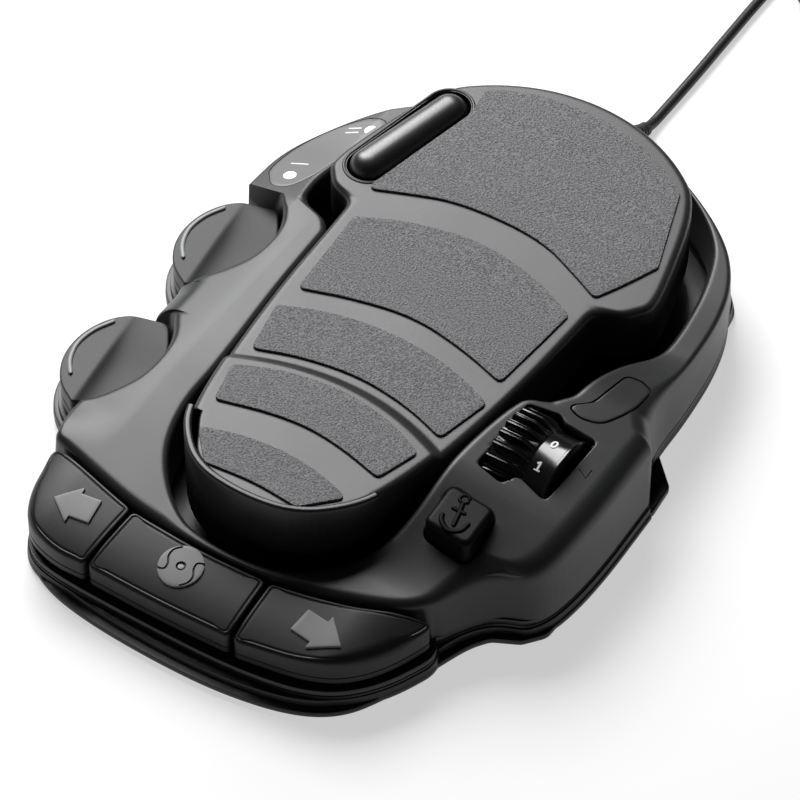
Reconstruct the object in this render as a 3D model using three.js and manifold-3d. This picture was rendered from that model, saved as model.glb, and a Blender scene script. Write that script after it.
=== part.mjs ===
// Corded foot pedal control of a trolling motor, as an assembly of separate pieces.
// Millimetres, +Z up. The toe end and the cord point to +Y, the dial side to +X.
import * as THREE from 'three';
import { mergeVertices } from 'three/addons/utils/BufferGeometryUtils.js';
import Module from 'manifold-3d';

const wasm = await Module();
wasm.setup();

// Driving dimensions
const GAP = 0.3;                    // between pieces that touch
const ROW_SHIFT = [2.4, -5.15];     // centres the body on the origin
const FOOT_H = 1.2;                 // the tray's underside above the floor
const TRAY_T = 3;                   // tray floor
const LEDGE_Z = 7.5;                // top of the ledge round the buttons and discs
const SEAM_Z = 9;                   // seam between tray and housing
const LIP_Z = 12;                   // top of the housing's lip under the buttons
const WALL = 2.5;
const BUTTON_Z = 15;                // underside of the buttons that stand on the lip
const PRESS = 2.5;                  // travel of those buttons
const STEM_R = 3.2;
const COLLAR_Z = 18;                // top of the collars round the stems
const BOARD_Z = 6;                  // underside of the circuit boards
const BOARD_T = 1.6;
const PIVOT_Y = 15;
const PIVOT_Z = 24;
const PIN_R = 4;
const RUN = 0.06;                   // radial play of a running fit
const SKIRT_Z = 22;                 // lower rim of the treadle
const PAD_H = 1.2;                  // the tread pads stand this far proud
const PAD_SINK = 1;
const DIAL_Y = -28.5;
const DIAL_Z = 35;
const WHEEL_R = 26.5;
const DRUM_R = 22.5;
const DIAL_X0 = 74;
const DIAL_XM = 88;
const DIAL_X1 = 105;
const SHAFT_R = 3;
const ANCHOR_AT = [82.5, -79];
const ANCHOR_Z0 = 39;               // underside of the button in the pod
const ANCHOR_POST_Z = 30;
const CORD_R = 2.65;
const CORD_Z = 14;                  // height of the cord's outlet
const REAR_Y = 183.75;              // outer face of the rear wall

// Outlines: each corner is x, y and the radius that rounds it; all run counter-clockwise
const LEAST_TURN = 0.3;
const ccw = (points) => (THREE.ShapeUtils.area(points) < 0 ? [...points].reverse() : points);

function outline(corners) {
  const points = [];
  corners.forEach(([x, y, r = 0], i) => {
    const [px, py] = corners[(i + corners.length - 1) % corners.length];
    const [nx, ny] = corners[(i + 1) % corners.length];
    const at = new THREE.Vector2(x, y);
    const a = new THREE.Vector2(px - x, py - y);
    const b = new THREE.Vector2(nx - x, ny - y);
    const la = a.length();
    const lb = b.length();
    a.divideScalar(la);
    b.divideScalar(lb);
    const half = Math.acos(THREE.MathUtils.clamp(a.dot(b), -1, 1)) / 2;
    if (r === 0 || Math.PI - 2 * half < LEAST_TURN) {
      points.push(at);
      return;
    }
    const reach = Math.min(r / Math.tan(half), 0.48 * la, 0.48 * lb);
    const steps = Math.max(1, Math.ceil((Math.PI - 2 * half) / 0.62));
    const start = at.clone().addScaledVector(a, reach);
    const end = at.clone().addScaledVector(b, reach);
    for (let k = 0; k <= steps; k += 1) {
      const t = k / steps;
      const p = start.clone().multiplyScalar((1 - t) * (1 - t));
      p.addScaledVector(at, 2 * t * (1 - t)).addScaledVector(end, t * t);
      points.push(p);
    }
  });
  return ccw(points);
}

// The same outline moved outwards by d (inwards when d is below 0)
function shift(points, d) {
  if (d === 0) return points;
  const n = points.length;
  return points.map((p, i) => {
    const a = points[(i + n - 1) % n];
    const b = points[(i + 1) % n];
    const u = p.clone().sub(a).normalize();
    const v = b.clone().sub(p).normalize();
    const m = new THREE.Vector2(u.y + v.y, -u.x - v.x).normalize();
    const c = Math.max(0.5, m.dot(new THREE.Vector2(u.y, -u.x)));
    return p.clone().addScaledVector(m, d / c);
  });
}

// As shift, without the points that a tight corner folds back over the outline
function grow(points, d) {
  const moved = shift(points, d);
  const segment = new THREE.Line3();
  const near = new THREE.Vector3();
  const flat = (p) => new THREE.Vector3(p.x, p.y, 0);
  return moved.filter((p) => points.every((a, i) => {
    segment.set(flat(a), flat(points[(i + 1) % points.length]));
    segment.closestPointToPoint(flat(p), true, near);
    return near.distanceTo(flat(p)) > Math.abs(d) * 0.97;
  }));
}

const circle = (x, y, r, n = 24) => Array.from({ length: n }, (_, i) => {
  const a = (2 * Math.PI * i) / n;
  return new THREE.Vector2(x + r * Math.cos(a), y + r * Math.sin(a));
});

const capsule = (x0, y0, x1, y1, r, n = 6) => {
  const turn = Math.atan2(y1 - y0, x1 - x0);
  const end = (x, y, from) => Array.from({ length: n + 1 }, (_, i) => {
    const a = turn + from + (Math.PI * i) / n;
    return new THREE.Vector2(x + r * Math.cos(a), y + r * Math.sin(a));
  });
  return [...end(x1, y1, -Math.PI / 2), ...end(x0, y0, Math.PI / 2)];
};

// Solid work
function solid(geometry) {
  const bare = geometry.clone();
  bare.deleteAttribute('normal');
  bare.deleteAttribute('uv');
  const welded = mergeVertices(bare, 1e-4);
  return new wasm.Manifold(new wasm.Mesh({
    numProp: 3,
    vertProperties: new Float32Array(welded.attributes.position.array),
    triVerts: new Uint32Array(welded.index.array),
  }));
}

function geometryOf(body) {
  const mesh = body.getMesh();
  const geometry = new THREE.BufferGeometry();
  geometry.setAttribute('position', new THREE.BufferAttribute(mesh.vertProperties, 3));
  geometry.setIndex(new THREE.BufferAttribute(mesh.triVerts, 1));
  return geometry;
}

// A closed solid through the same outline at several levels, each [height, growth]
function loft(shape, levels) {
  const points = ccw(shape);
  const n = points.length;
  const rings = levels.map(([z, d]) => shift(points, d).map((p) => [p.x, p.y, z]));
  const faces = [];
  for (let k = 0; k + 1 < rings.length; k += 1) {
    for (let i = 0; i < n; i += 1) {
      const a = k * n + i;
      const b = k * n + ((i + 1) % n);
      faces.push(a, b, b + n, a, b + n, a + n);
    }
  }
  const lid = THREE.ShapeUtils.triangulateShape(shift(points, levels[0][1]), []);
  const top = THREE.ShapeUtils.triangulateShape(shift(points, levels[levels.length - 1][1]), []);
  const last = (rings.length - 1) * n;
  lid.forEach(([a, b, c]) => faces.push(a, c, b));
  top.forEach(([a, b, c]) => faces.push(last + a, last + b, last + c));
  const geometry = new THREE.BufferGeometry();
  geometry.setAttribute('position', new THREE.Float32BufferAttribute(rings.flat(2), 3));
  geometry.setIndex(faces);
  return solid(geometry);
}

const prism = (points, z0, z1) => loft(points, [[z0, 0], [z1, 0]]);
const box = (x0, x1, y0, y1, z0, z1) => {
  const geometry = new THREE.BoxGeometry(x1 - x0, y1 - y0, z1 - z0);
  return solid(geometry.translate((x0 + x1) / 2, (y0 + y1) / 2, (z0 + z1) / 2));
};

// A round bar along X, and a turned profile of [x, radius] about the X axis
const barX = (x0, x1, y, z, r, n = 24) => {
  const geometry = new THREE.CylinderGeometry(r, r, x1 - x0, n);
  return solid(geometry.rotateZ(Math.PI / 2).translate((x0 + x1) / 2, y, z));
};
const barZ = (x, y, z0, z1, r, n = 12) => {
  const geometry = new THREE.CylinderGeometry(r, r, z1 - z0, n);
  return solid(geometry.rotateX(Math.PI / 2).translate(x, y, (z0 + z1) / 2));
};
const barY = (x, y0, y1, z, r, n = 14) => {
  const geometry = new THREE.CylinderGeometry(r, r, y1 - y0, n);
  return solid(geometry.translate(x, (y0 + y1) / 2, z));
};

// Height along Y read off a short list of [y, z]
function along(list, y) {
  if (y <= list[0][0]) return list[0][1];
  for (let i = 1; i < list.length; i += 1) {
    const [y0, z0] = list[i - 1];
    const [y1, z1] = list[i];
    if (y <= y1) return z0 + ((z1 - z0) * (y - y0)) / (y1 - y0);
  }
  return list[list.length - 1][1];
}

// A slab across X between two profiles along Y
function profileSlab(list, below, above, x = 150) {
  const lower = list.map(([y, z]) => new THREE.Vector2(y, z + below));
  const upper = list.map(([y, z]) => new THREE.Vector2(y, z + above)).reverse();
  const geometry = new THREE.ExtrudeGeometry(new THREE.Shape([...lower, ...upper]), {
    depth: 2 * x, bevelEnabled: false, curveSegments: 1,
  });
  geometry.applyMatrix4(new THREE.Matrix4().set(0, 0, 1, -x, 1, 0, 0, 0, 0, 1, 0, 0, 0, 0, 0, 1));
  return solid(geometry);
}

// A block whose top follows height(x, y) on a regular grid
function terrain(x0, x1, y0, y1, bottom, step, height) {
  const nx = Math.round((x1 - x0) / step);
  const ny = Math.round((y1 - y0) / step);
  const positions = [];
  const faces = [];
  const id = (i, j) => j * (nx + 1) + i;
  for (let j = 0; j <= ny; j += 1) {
    for (let i = 0; i <= nx; i += 1) {
      const x = x0 + ((x1 - x0) * i) / nx;
      const y = y0 + ((y1 - y0) * j) / ny;
      positions.push(x, y, height(x, y));
    }
  }
  const edge = [];
  for (let i = 0; i < nx; i += 1) edge.push(id(i, 0));
  for (let j = 0; j < ny; j += 1) edge.push(id(nx, j));
  for (let i = nx; i > 0; i -= 1) edge.push(id(i, ny));
  for (let j = ny; j > 0; j -= 1) edge.push(id(0, j));
  for (let j = 0; j < ny; j += 1) {
    for (let i = 0; i < nx; i += 1) {
      const [a, b, c, d] = [id(i, j), id(i + 1, j), id(i + 1, j + 1), id(i, j + 1)];
      faces.push(a, b, c, a, c, d);
    }
  }
  const base = positions.length / 3;
  edge.forEach((e) => positions.push(positions[3 * e], positions[3 * e + 1], bottom));
  const centre = positions.length / 3;
  positions.push((x0 + x1) / 2, (y0 + y1) / 2, bottom);
  edge.forEach((e, k) => {
    const next = (k + 1) % edge.length;
    faces.push(base + k, base + next, edge[next], base + k, edge[next], e);
    faces.push(centre, base + next, base + k);
  });
  const geometry = new THREE.BufferGeometry();
  geometry.setAttribute('position', new THREE.Float32BufferAttribute(positions, 3));
  geometry.setIndex(faces);
  return solid(geometry);
}

const smooth = (a, b, t) => {
  const s = THREE.MathUtils.clamp((t - a) / (b - a), 0, 1);
  return s * s * (3 - 2 * s);
};

// Top surface of the housing: a low crown that falls beside the discs, a shelf that falls
// outwards behind them, and the dial pod
const CROWN = [
  [-145, 32.5], [-120, 35], [-90, 38], [-50, 41], [50, 41], [100, 37], [REAR_Y + 6.25, 35],
];
function deckHeight(x, y) {
  const behind = smooth(28, 56, y);
  const beside = Math.max(0, -78 - x);
  const scoop = 0.21 * (Math.hypot(beside, 6) - 6) * smooth(-122, -96, y) * (1 - behind);
  const crown = along(CROWN, y) - scoop - 0.22 * Math.max(0, -92 - x) * behind;
  const pod = smooth(38, 64, x) * smooth(-118, -50, y) * (1 - smooth(12, 66, y));
  return crown + pod * (14.5 - 0.13 * (x - 64));
}

// Plan of the body, counter-clockwise
const SHELL = outline([
  [-103, -123, 5], [-72, -132, 60], [-47, -138, 60], [-13, -140.5, 60], [24, -139.5, 60],
  [56, -133.5, 60], [88, -120, 14], [99, -97, 12], [108, -88, 14], [124, -82, 16],
  [129, -48, 60], [127, 8, 3], [118, 20, 8], [114.5, 36, 40], [113, 62, 60], [108.5, 95, 60],
  [101, 121, 50], [86, 143, 50], [60, REAR_Y - 22, 60], [32, REAR_Y - 8, 60],
  [0, REAR_Y + 2, 70], [-36, REAR_Y - 7, 60], [-68, 156, 60], [-92, 134, 60],
  [-109.5, 110, 50], [-121, 84, 40], [-120.5, 55, 5],
  [-113, 30, 20], [-112.5, -20, 20], [-113, -60, 20], [-108, -100, 20],
]);
const FRONT = outline([
  [-99, -122, 6], [-95.5, -146, 30], [-87, -165, 18], [-70, -172, 30], [-13, -173.5, 90],
  [30, -173, 60], [66, -167, 30], [86, -148, 26], [98, -118, 12], [60, -100, 0], [-60, -100, 0],
]);
const LENS = [
  [6, 34, 3], [-14, 27, 16], [-24, 10, 16], [-24, -9, 16], [-15, -25, 14], [-1, -33.5, 3],
  [12, -21, 20], [21, -4, 20], [20, 16, 16],
];
const REAR_DISC = [-110.5, 22];
const FRONT_DISC = [-111, -66];
const lens = ([x, y]) => outline(LENS.map(([a, b, r]) => [x + a, y + b, r]));
const TREADLE = outline([
  [0, -126, 60], [26, -122, 40], [44, -104, 30], [51, -86, 30], [58, -50, 80], [63.5, 0, 80],
  [65.5, 48, 6], [66, 59, 8], [79, 64, 12], [87, 74, 10], [86, 88, 20], [71, 142, 14],
  [50, 159, 40], [26, 169.5, 60], [0, 173, 70], [-26, 169.5, 60], [-50, 159, 40],
  [-71, 142, 14], [-86, 88, 20], [-87, 74, 10], [-79, 64, 12], [-66, 59, 8], [-65.5, 48, 6],
  [-63.5, 0, 80], [-58, -50, 80], [-51, -86, 30], [-44, -104, 30], [-26, -122, 40],
]);
const WELL = outline([
  [0, -138, 70], [28, -133, 50], [50, -114, 34], [61, -88, 30], [62, -52, 60], [67, 0, 80],
  [69, 42, 8], [74, 49, 12], [93, 56, 16], [98, 76, 24], [92, 112, 50], [82, 140, 40],
  [60, REAR_Y - 24, 50], [30, REAR_Y - 9, 60], [0, REAR_Y - 3.75, 70], [-30, REAR_Y - 8, 60],
  [-58, REAR_Y - 22, 40], [-76, 144, 30],
  [-84, 112, 40], [-93, 76, 16], [-90, 57, 10], [-74, 51, 12], [-69, 44, 8], [-67, 0, 80],
  [-62, -52, 60], [-63, -80, 30], [-54, -108, 34], [-30, -132, 50],
]);

// Tread surface: a dished plate and a heel tier that climbs towards the lip
const PLATE_TOP = [[-140, 51.5], [-60, 51.5], [-20, 50.5], [40, 50], [75, 50.8], [185, 53]];
const HEEL_TOP = [[-140, 61], [-30, 53.4]];
const HEEL_TIER = [
  [-70, -64, 0], [-43, -47, 40], [-20, -39.5, 40], [20, -39.5, 40], [43, -47, 40],
  [70, -64, 0], [70, -135, 0], [-70, -135, 0],
];

const pieces = [];
function add(name, body, color, roughness, metalness = 0) {
  const geometry = body.isBufferGeometry ? body : geometryOf(body);
  geometry.translate(...ROW_SHIFT, 0);
  const material = new THREE.MeshStandardMaterial({ color, roughness, metalness });
  const mesh = new THREE.Mesh(geometry, material);
  mesh.name = name;
  pieces.push(mesh);
}

// Tray: stepped rim, pan, pivot posts, dial post, mounting ears
const lobes = [REAR_DISC, FRONT_DISC].map(lens).map((shape) => grow(shape, -1.2));
const plan = (z0, z1, d, shapes = [SHELL, FRONT, ...lobes]) => shapes
  .map((shape) => prism(grow(shape, d), z0, z1))
  .reduce((a, b) => a.add(b));
const EARS = [
  { hole: [122.3, 19.2], tab: outline([
    [104, 40, 0], [114, 38, 4], [128.8, 23, 4], [130.5, 4, 4], [112, 0, 0],
  ]) },
  { hole: [-64.4, 168], tab: capsule(-56, 155, -64.4, 168, 8.5) },
];
const FEET = [[-80, -146], [76, -140], [98, 80], [-100, 96]];
const SCREWS = [[-84, -108], [80, -105], [104, 50], [-110, 84]];
const FLARE = [[4.2, 3.8], [6.6, 3], [SEAM_Z, 2.2]];
// The wall stands plain, without flare or lip, behind the pod on the dial side
const plainSide = box(60, 150, 9, 128, -1, LIP_Z + 3).subtract(prism(grow(SHELL, 0.2), -2, 40));
const trayOuter = FLARE.map(([z, d]) => prism(grow(SHELL, d), FOOT_H, z))
  .reduce((a, b) => a.add(b))
  .add(plan(FOOT_H, LEDGE_Z, 4, [FRONT, ...lobes]))
  .add(plan(FOOT_H, SEAM_Z, 1.8))
  .subtract(plainSide);
const trayInner = plan(FOOT_H + TRAY_T, SEAM_Z + 1, -WALL);
let tray = trayOuter.subtract(trayInner);
EARS.forEach(({ hole, tab }) => {
  tray = tray.add(prism(tab, FOOT_H, FOOT_H + TRAY_T));
  tray = tray.subtract(barZ(...hole, 0, FOOT_H + TRAY_T + 1, 2.6));
});
const POST_X = 46;
[-1, 1].forEach((side) => {
  const x0 = Math.min(side * POST_X, side * (POST_X - 7));
  const post = box(x0, x0 + 7, PIVOT_Y - 9, PIVOT_Y + 9, FOOT_H + TRAY_T - 0.5, PIVOT_Z + 7);
  tray = tray.add(post).subtract(barX(x0 - 1, x0 + 8, PIVOT_Y, PIVOT_Z, PIN_R + RUN));
});
const SHAFT_POST_X = DIAL_X1 + 1.2;
const postFoot = FOOT_H + TRAY_T - 0.5;
tray = tray
  .add(box(SHAFT_POST_X, SHAFT_POST_X + 5, DIAL_Y - 7, DIAL_Y + 7, postFoot, DIAL_Z + 6))
  .subtract(barX(SHAFT_POST_X - 1, SHAFT_POST_X + 6, DIAL_Y, DIAL_Z, SHAFT_R + RUN));
FEET.forEach(([x, y]) => {
  tray = tray.subtract(barZ(x, y, 0, FOOT_H + 1.5, 9 + GAP, 16));
});
SCREWS.forEach(([x, y]) => {
  tray = tray.subtract(barZ(x, y, 0, FOOT_H + 1.8, 4.2, 10))
    .subtract(barZ(x, y, 0, 20, 1.5 + GAP, 8));
});
const SPRING_Y = [PIVOT_Y - 62, PIVOT_Y + 62];
SPRING_Y.forEach((y) => {
  tray = tray.add(barZ(0, y, FOOT_H + TRAY_T - 0.5, 11, 4.5));
});
const STANDS = [[-70, -157], [-40, -155], [58, -155], [-98, -76], [-98, 40], [-91, 106]];
STANDS.forEach(([x, y]) => {
  tray = tray.add(barZ(x, y, FOOT_H + TRAY_T - 0.5, BOARD_Z - GAP, 3, 8));
});
tray = tray.add(barZ(...ANCHOR_AT, FOOT_H + TRAY_T - 0.5, ANCHOR_POST_Z, 4))
  .subtract(box(-6.5, 8.5, REAR_Y - 14, REAR_Y + 16, SEAM_Z - 1.5, 40));

// Housing: shell with the well, notches, dial window and lip
const DECK_AREA = [-140, 140, -145, REAR_Y + 6.25];
const ground = terrain(...DECK_AREA, SEAM_Z + GAP, 14, deckHeight);
let housing = prism(SHELL, SEAM_Z + GAP, 80).intersect(ground);
housing = housing.add(plan(SEAM_Z + GAP, LIP_Z, 1.8)).subtract(plainSide);
const hollowTop = terrain(...DECK_AREA, 0, 40, (x, y) => deckHeight(x, y) - 3.2);
const under = prism(grow(SHELL, -WALL), 0, 80).intersect(hollowTop)
  .subtract(prism(grow(WELL, WALL), 0, 90));
housing = housing.subtract(under);
[REAR_DISC, FRONT_DISC].forEach((at) => {
  housing = housing.add(prism(grow(lens(at), 1.2 + WALL), LIP_Z - 2, 80).intersect(ground)
    .intersect(prism(SHELL, 0, 90)));
  housing = housing.subtract(prism(grow(lens(at), 1.2), LIP_Z, 80));
});
housing = housing.subtract(prism(WELL, 0, 90));
const WINDOW = outline([
  [DIAL_X0 - 1.5, DIAL_Y - WHEEL_R + 4.5, 3], [DIAL_XM - 1.5, DIAL_Y - WHEEL_R + 2, 3],
  [DIAL_XM + 2.5, DIAL_Y - DRUM_R + 6, 4], [DIAL_X1 + 2, DIAL_Y - DRUM_R + 1, 3],
  [DIAL_X1 + 3, DIAL_Y + DRUM_R - 2, 3], [DIAL_XM + 3.5, DIAL_Y + DRUM_R - 1.7, 3],
  [DIAL_XM - 1, DIAL_Y + WHEEL_R - 3, 3], [DIAL_X0 - 1, DIAL_Y + WHEEL_R - 6.5, 3],
]);
const DIAL_ROOM = 1;                // clearance round the dial under the deck
housing = housing
  .subtract(barX(DIAL_X0 - 1.5, DIAL_XM + 1, DIAL_Y, DIAL_Z, WHEEL_R + DIAL_ROOM, 40))
  .subtract(barX(DIAL_XM, DIAL_X1 + 1, DIAL_Y, DIAL_Z, DRUM_R + DIAL_ROOM, 36));
housing = housing.subtract(prism(WINDOW, 30, 90));
const COVER = outline([
  [87, 1.5, 3], [95.5, 9.5, 12], [97, 24, 8], [97.5, 35.5, 4], [104, 36.5, 4],
  [110.5, 34, 4], [111.5, 17, 14], [104, 1.5, 10], [95, -1, 8],
]);
housing = housing.subtract(prism(grow(COVER, GAP), 30, 90)
  .intersect(terrain(60, 140, -20, 60, 30, 8, (x, y) => deckHeight(x, y) + 5))
  .subtract(terrain(60, 140, -20, 60, 0, 8, (x, y) => deckHeight(x, y) - 1.6)));
const LABEL = outline([
  [-119.2, 67, 3], [-110.5, 56.5, 5], [-102, 60.5, 8], [-96.4, 71, 20], [-92.8, 88, 30],
  [-86, 112, 20], [-87.5, 125, 4], [-97, 123.4, 10], [-108.5, 112, 30], [-117.6, 93, 30],
  [-120.2, 76, 20],
]);
housing = housing.subtract(prism(grow(LABEL, GAP), 20, 90)
  .subtract(terrain(-140, -60, 30, 150, 0, 16, (x, y) => deckHeight(x, y) - 1.2)));
const ANCHOR = outline([[69, -65.5, 5], [70, -90.5, 5], [95, -93, 5], [94, -68, 5]]);
housing = housing.subtract(prism(grow(ANCHOR, 0.5), 30, 90));
const FRONT_EDGES = {
  left: [[-99.5, -125, 4], [-72, -133.5, 60], [-50, -139, 3], [-52.5, -171, 3], [-70, -171, 30],
    [-86.5, -164, 18], [-96, -146, 30]],
  centre: [[-48.5, -139.5, 3], [-13, -142, 90], [23, -141, 3], [23.5, -171.5, 3],
    [-13, -172.5, 200], [-51, -171.5, 3]],
  right: [[25, -141, 3], [56, -135.5, 60], [87, -122, 12], [96, -119, 5], [84.5, -149, 24],
    [65, -166, 30], [25.5, -172, 3]],
};
const inner = (corners) => grow(outline(corners.map(([x, y, r]) => [x, y, Math.max(r, 8)])), -3);
const SWITCHES = {
  left: [-72, -152], centre: [-13, -156], right: [52, -152],
  rear_disc: [-102, 22], front_disc: [-102, -66],
};
// Collars that guide the stems of the buttons
Object.values(SWITCHES).forEach(([x, y]) => {
  housing = housing.add(barZ(x, y, LIP_Z - 0.5, COLLAR_Z, 7))
    .subtract(barZ(x, y, 5, LIP_Z, 5.4)).subtract(barZ(x, y, 5, COLLAR_Z + 1, STEM_R + GAP));
});
const LEDS = [[-106.5, 69.3], [-91.8, 115]];
const LED_R = 2.9;
LEDS.forEach(([x, y]) => {
  housing = housing.subtract(barZ(x, y, 20, 60, LED_R + GAP));
});
housing = housing.subtract(barY(1, REAR_Y - 34, REAR_Y + 16, CORD_Z, 5.5 + GAP));
SCREWS.forEach(([x, y]) => {
  const post = barZ(x, y, SEAM_Z + GAP, deckHeight(x, y) - 2.8, 4.5, 8)
    .subtract(barZ(x, y, 0, 26, 1.5 + GAP, 8));
  housing = housing.add(post);
});

// Colours as seen: charcoal plastic, grey rubber, black dial
const SHELL_TONE = 0x2b2c2e;
const RUBBER = 0x3a3b3d;
const GLOSS = 0x0b0b0c;
add('base_tray', tray, 0x1b1c1d, 0.6);
add('deck_housing', housing, SHELL_TONE, 0.55);
FEET.forEach(([x, y], i) => {
  add(`rubber_foot_${i + 1}`, barZ(x, y, 0, FOOT_H + 1.5 - GAP, 9, 16), 0x151515, 0.9);
});
SCREWS.forEach(([x, y], i) => {
  const screw = barZ(x, y, FOOT_H + 0.2, FOOT_H + 1.8 - GAP, 3.6, 10)
    .add(barZ(x, y, FOOT_H + 1, 22, 1.5, 8));
  add(`case_screw_${i + 1}`, screw, 0xa8a9ab, 0.35, 1);
});

// Treadle: a hollow tread with bosses on the pivot, and the pieces that ride on it
const heelTier = outline(HEEL_TIER);
const tread = prism(TREADLE, SKIRT_Z, 80);
const plateShape = tread.intersect(profileSlab(PLATE_TOP, -40, 0));
const heelShape = prism(grow(TREADLE, -3.2), 40, 80).intersect(prism(heelTier, 40, 90))
  .intersect(profileSlab(HEEL_TOP, -12, 0));
const hollow = prism(grow(TREADLE, -3), 0, 90).intersect(profileSlab(PLATE_TOP, -60, -4));
let treadle = plateShape.add(heelShape).subtract(hollow);
const BOSS_X = 35;
[-1, 1].forEach((side) => {
  const x0 = side < 0 ? -BOSS_X : BOSS_X - 7;
  treadle = treadle.add(box(x0, x0 + 7, PIVOT_Y - 8, PIVOT_Y + 8, PIVOT_Z - 8, 48));
  treadle = treadle.subtract(barX(x0 - 1, x0 + 8, PIVOT_Y, PIVOT_Z, PIN_R + RUN));
});
const BAR = [-70.5, 82, -59, 133];
const POCKET_Z = 38.5;
const BAR_Z = 44.2;
treadle = treadle.add(prism(capsule(...BAR, 13), POCKET_Z - 2.5, 49).intersect(prism(TREADLE, 0, 90)));
treadle = treadle.subtract(prism(capsule(...BAR, 10.5), POCKET_Z, 90));
// Ring that the heel cup is set into
const cupOuter = prism(grow(TREADLE, 2.2), SKIRT_Z, 90);
const cupInner = prism(grow(TREADLE, -1.4), 0, 100);
const CUP_ENDS = -93;
const cupSpan = box(-80, 80, -140, CUP_ENDS, 0, 90);
const cupProfile = profileSlab([[-140, 63.6], [-60, 57]], -42, 0);
treadle = treadle.subtract(cupOuter.subtract(prism(grow(TREADLE, -1.4 - GAP), 0, 100))
  .intersect(box(-90, 90, -150, CUP_ENDS + GAP, 0, 100)));
const PADS = [
  [[-63, 68, 3], [-48, 74, 20], [-22, 83.5, 40], [22, 83.5, 40], [50, 71, 20], [62, 65, 3],
    [69, 78, 20], [77, 96, 3], [62, 141, 3], [45, 152, 30], [22, 161, 40], [-5, 164, 60],
    [-32, 160.5, 30], [-50, 151, 3], [-47.5, 134, 12], [-58, 90, 60]],
  [[-54, -2, 3], [-30, 6, 30], [0, 11.5, 60], [30, 6, 30], [54, -2, 3], [58, 50, 3],
    [35, 61, 30], [0, 68, 60], [-35, 61, 30], [-58, 50, 3]],
  [[-50, -45, 3], [-28, -37, 30], [0, -33, 60], [28, -37, 30], [50, -45, 3], [56, -16, 3],
    [32, -6, 30], [0, -2, 60], [-32, -6, 30], [-56, -16, 3]],
  [[-43, -84, 3], [-20, -77.5, 30], [0, -75, 60], [20, -77.5, 30], [43, -84, 3],
    [49, -61, 3], [28, -51, 30], [0, -46.5, 60], [-28, -51, 30], [-49, -61, 3]],
  [[-24, -119, 3], [0, -116.5, 60], [24, -119, 3], [39, -102, 3], [20, -95.5, 30],
    [0, -93.5, 60], [-20, -95.5, 30], [-39, -102, 3]],
].map((corners) => outline(corners));
const padBodies = PADS.map((shape, i) => {
  const list = i < 3 ? PLATE_TOP : HEEL_TOP;
  treadle = treadle.subtract(prism(grow(shape, GAP), 40, 90)
    .intersect(profileSlab(list, -PAD_SINK, 10)));
  return prism(shape, 40, 90).intersect(profileSlab(list, GAP - PAD_SINK, PAD_H));
});
SPRING_Y.forEach((y) => {
  const top = along(PLATE_TOP, y) - 3;
  treadle = treadle.add(barZ(0, y, top - 9, top, 4.5));
});
const MAGNET_Z = 24;
treadle = treadle.add(barZ(22, PIVOT_Y + 30, MAGNET_Z, 48, 4, 16));
add('treadle_plate', treadle, SHELL_TONE, 0.55);
add('heel_cup', cupOuter.subtract(cupInner).intersect(cupSpan).intersect(cupProfile), 0x242527, 0.5);
padBodies.forEach((body, i) => add(`tread_pad_${i + 1}`, body, RUBBER, 0.95));
const barButton = loft(capsule(...BAR, 9.2, 9), [
  [BAR_Z, 0], [52.5, 0], [55.8, -1.6], [57.8, -4], [58.5, -6.6],
]);
add('bar_button', barButton, GLOSS, 0.25);
const barMid = [(BAR[0] + BAR[2]) / 2, (BAR[1] + BAR[3]) / 2];
add('bar_switch', box(barMid[0] - 4, barMid[0] + 4, barMid[1] - 4, barMid[1] + 4,
  POCKET_Z + GAP, BAR_Z - PRESS - GAP), 0x222222, 0.6);

// Pivot pin and return springs
add('pivot_pin', barX(-POST_X - 1, POST_X + 1, PIVOT_Y, PIVOT_Z, PIN_R), 0xb4b6b8, 0.3, 1);
function tube(points, radius, sides, steps) {
  const curve = new THREE.CatmullRomCurve3(points, false, 'centripetal');
  curve.arcLengthDivisions = 4 * points.length;
  const ring = new THREE.Shape(circle(0, 0, radius, sides));
  const geometry = new THREE.ExtrudeGeometry(ring, { steps, bevelEnabled: false, extrudePath: curve });
  return solid(geometry);
}
const SPRING_R = 6.3;
const SPRING_WIRE = 0.9;
SPRING_Y.forEach((y, i) => {
  const bottom = FOOT_H + TRAY_T + GAP + SPRING_WIRE;
  const top = along(PLATE_TOP, y) - 4 - GAP - SPRING_WIRE - 0.4;
  const points = Array.from({ length: 5 * 12 + 1 }, (_, k) => {
    const t = k / (5 * 12);
    const a = 2 * Math.PI * 5 * t;
    const z = bottom + (top - bottom) * t;
    return new THREE.Vector3(SPRING_R * Math.cos(a), y + SPRING_R * Math.sin(a), z);
  });
  add(`return_spring_${i === 0 ? 'heel' : 'toe'}`, tube(points, SPRING_WIRE, 4, 44), 0x9c9ea0, 0.35, 1);
});

// Buttons on the lip: a sloped top with a raised sign, hollow below
const FRONT_TOP = [[-180, 25.2], [-172, 26.6], [-140, 33], [-110, 35]];
function button(corners, topList, sign, signZ) {
  const shape = outline(corners);
  let body = loft(shape, [[BUTTON_Z, 0], [24, 0], [45, -0.8]]).intersect(profileSlab(topList, -60, 0));
  body = body.subtract(prism(inner(corners), 0, 90).intersect(profileSlab(topList, -60, -3.5)));
  if (sign) body = body.add(sign.intersect(profileSlab(topList, -2, signZ)));
  return body;
}
const STEM_Z = BUTTON_Z - 0.5;
const stem = ([x, y], z) => barZ(x, y, STEM_Z, z, STEM_R);
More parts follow.
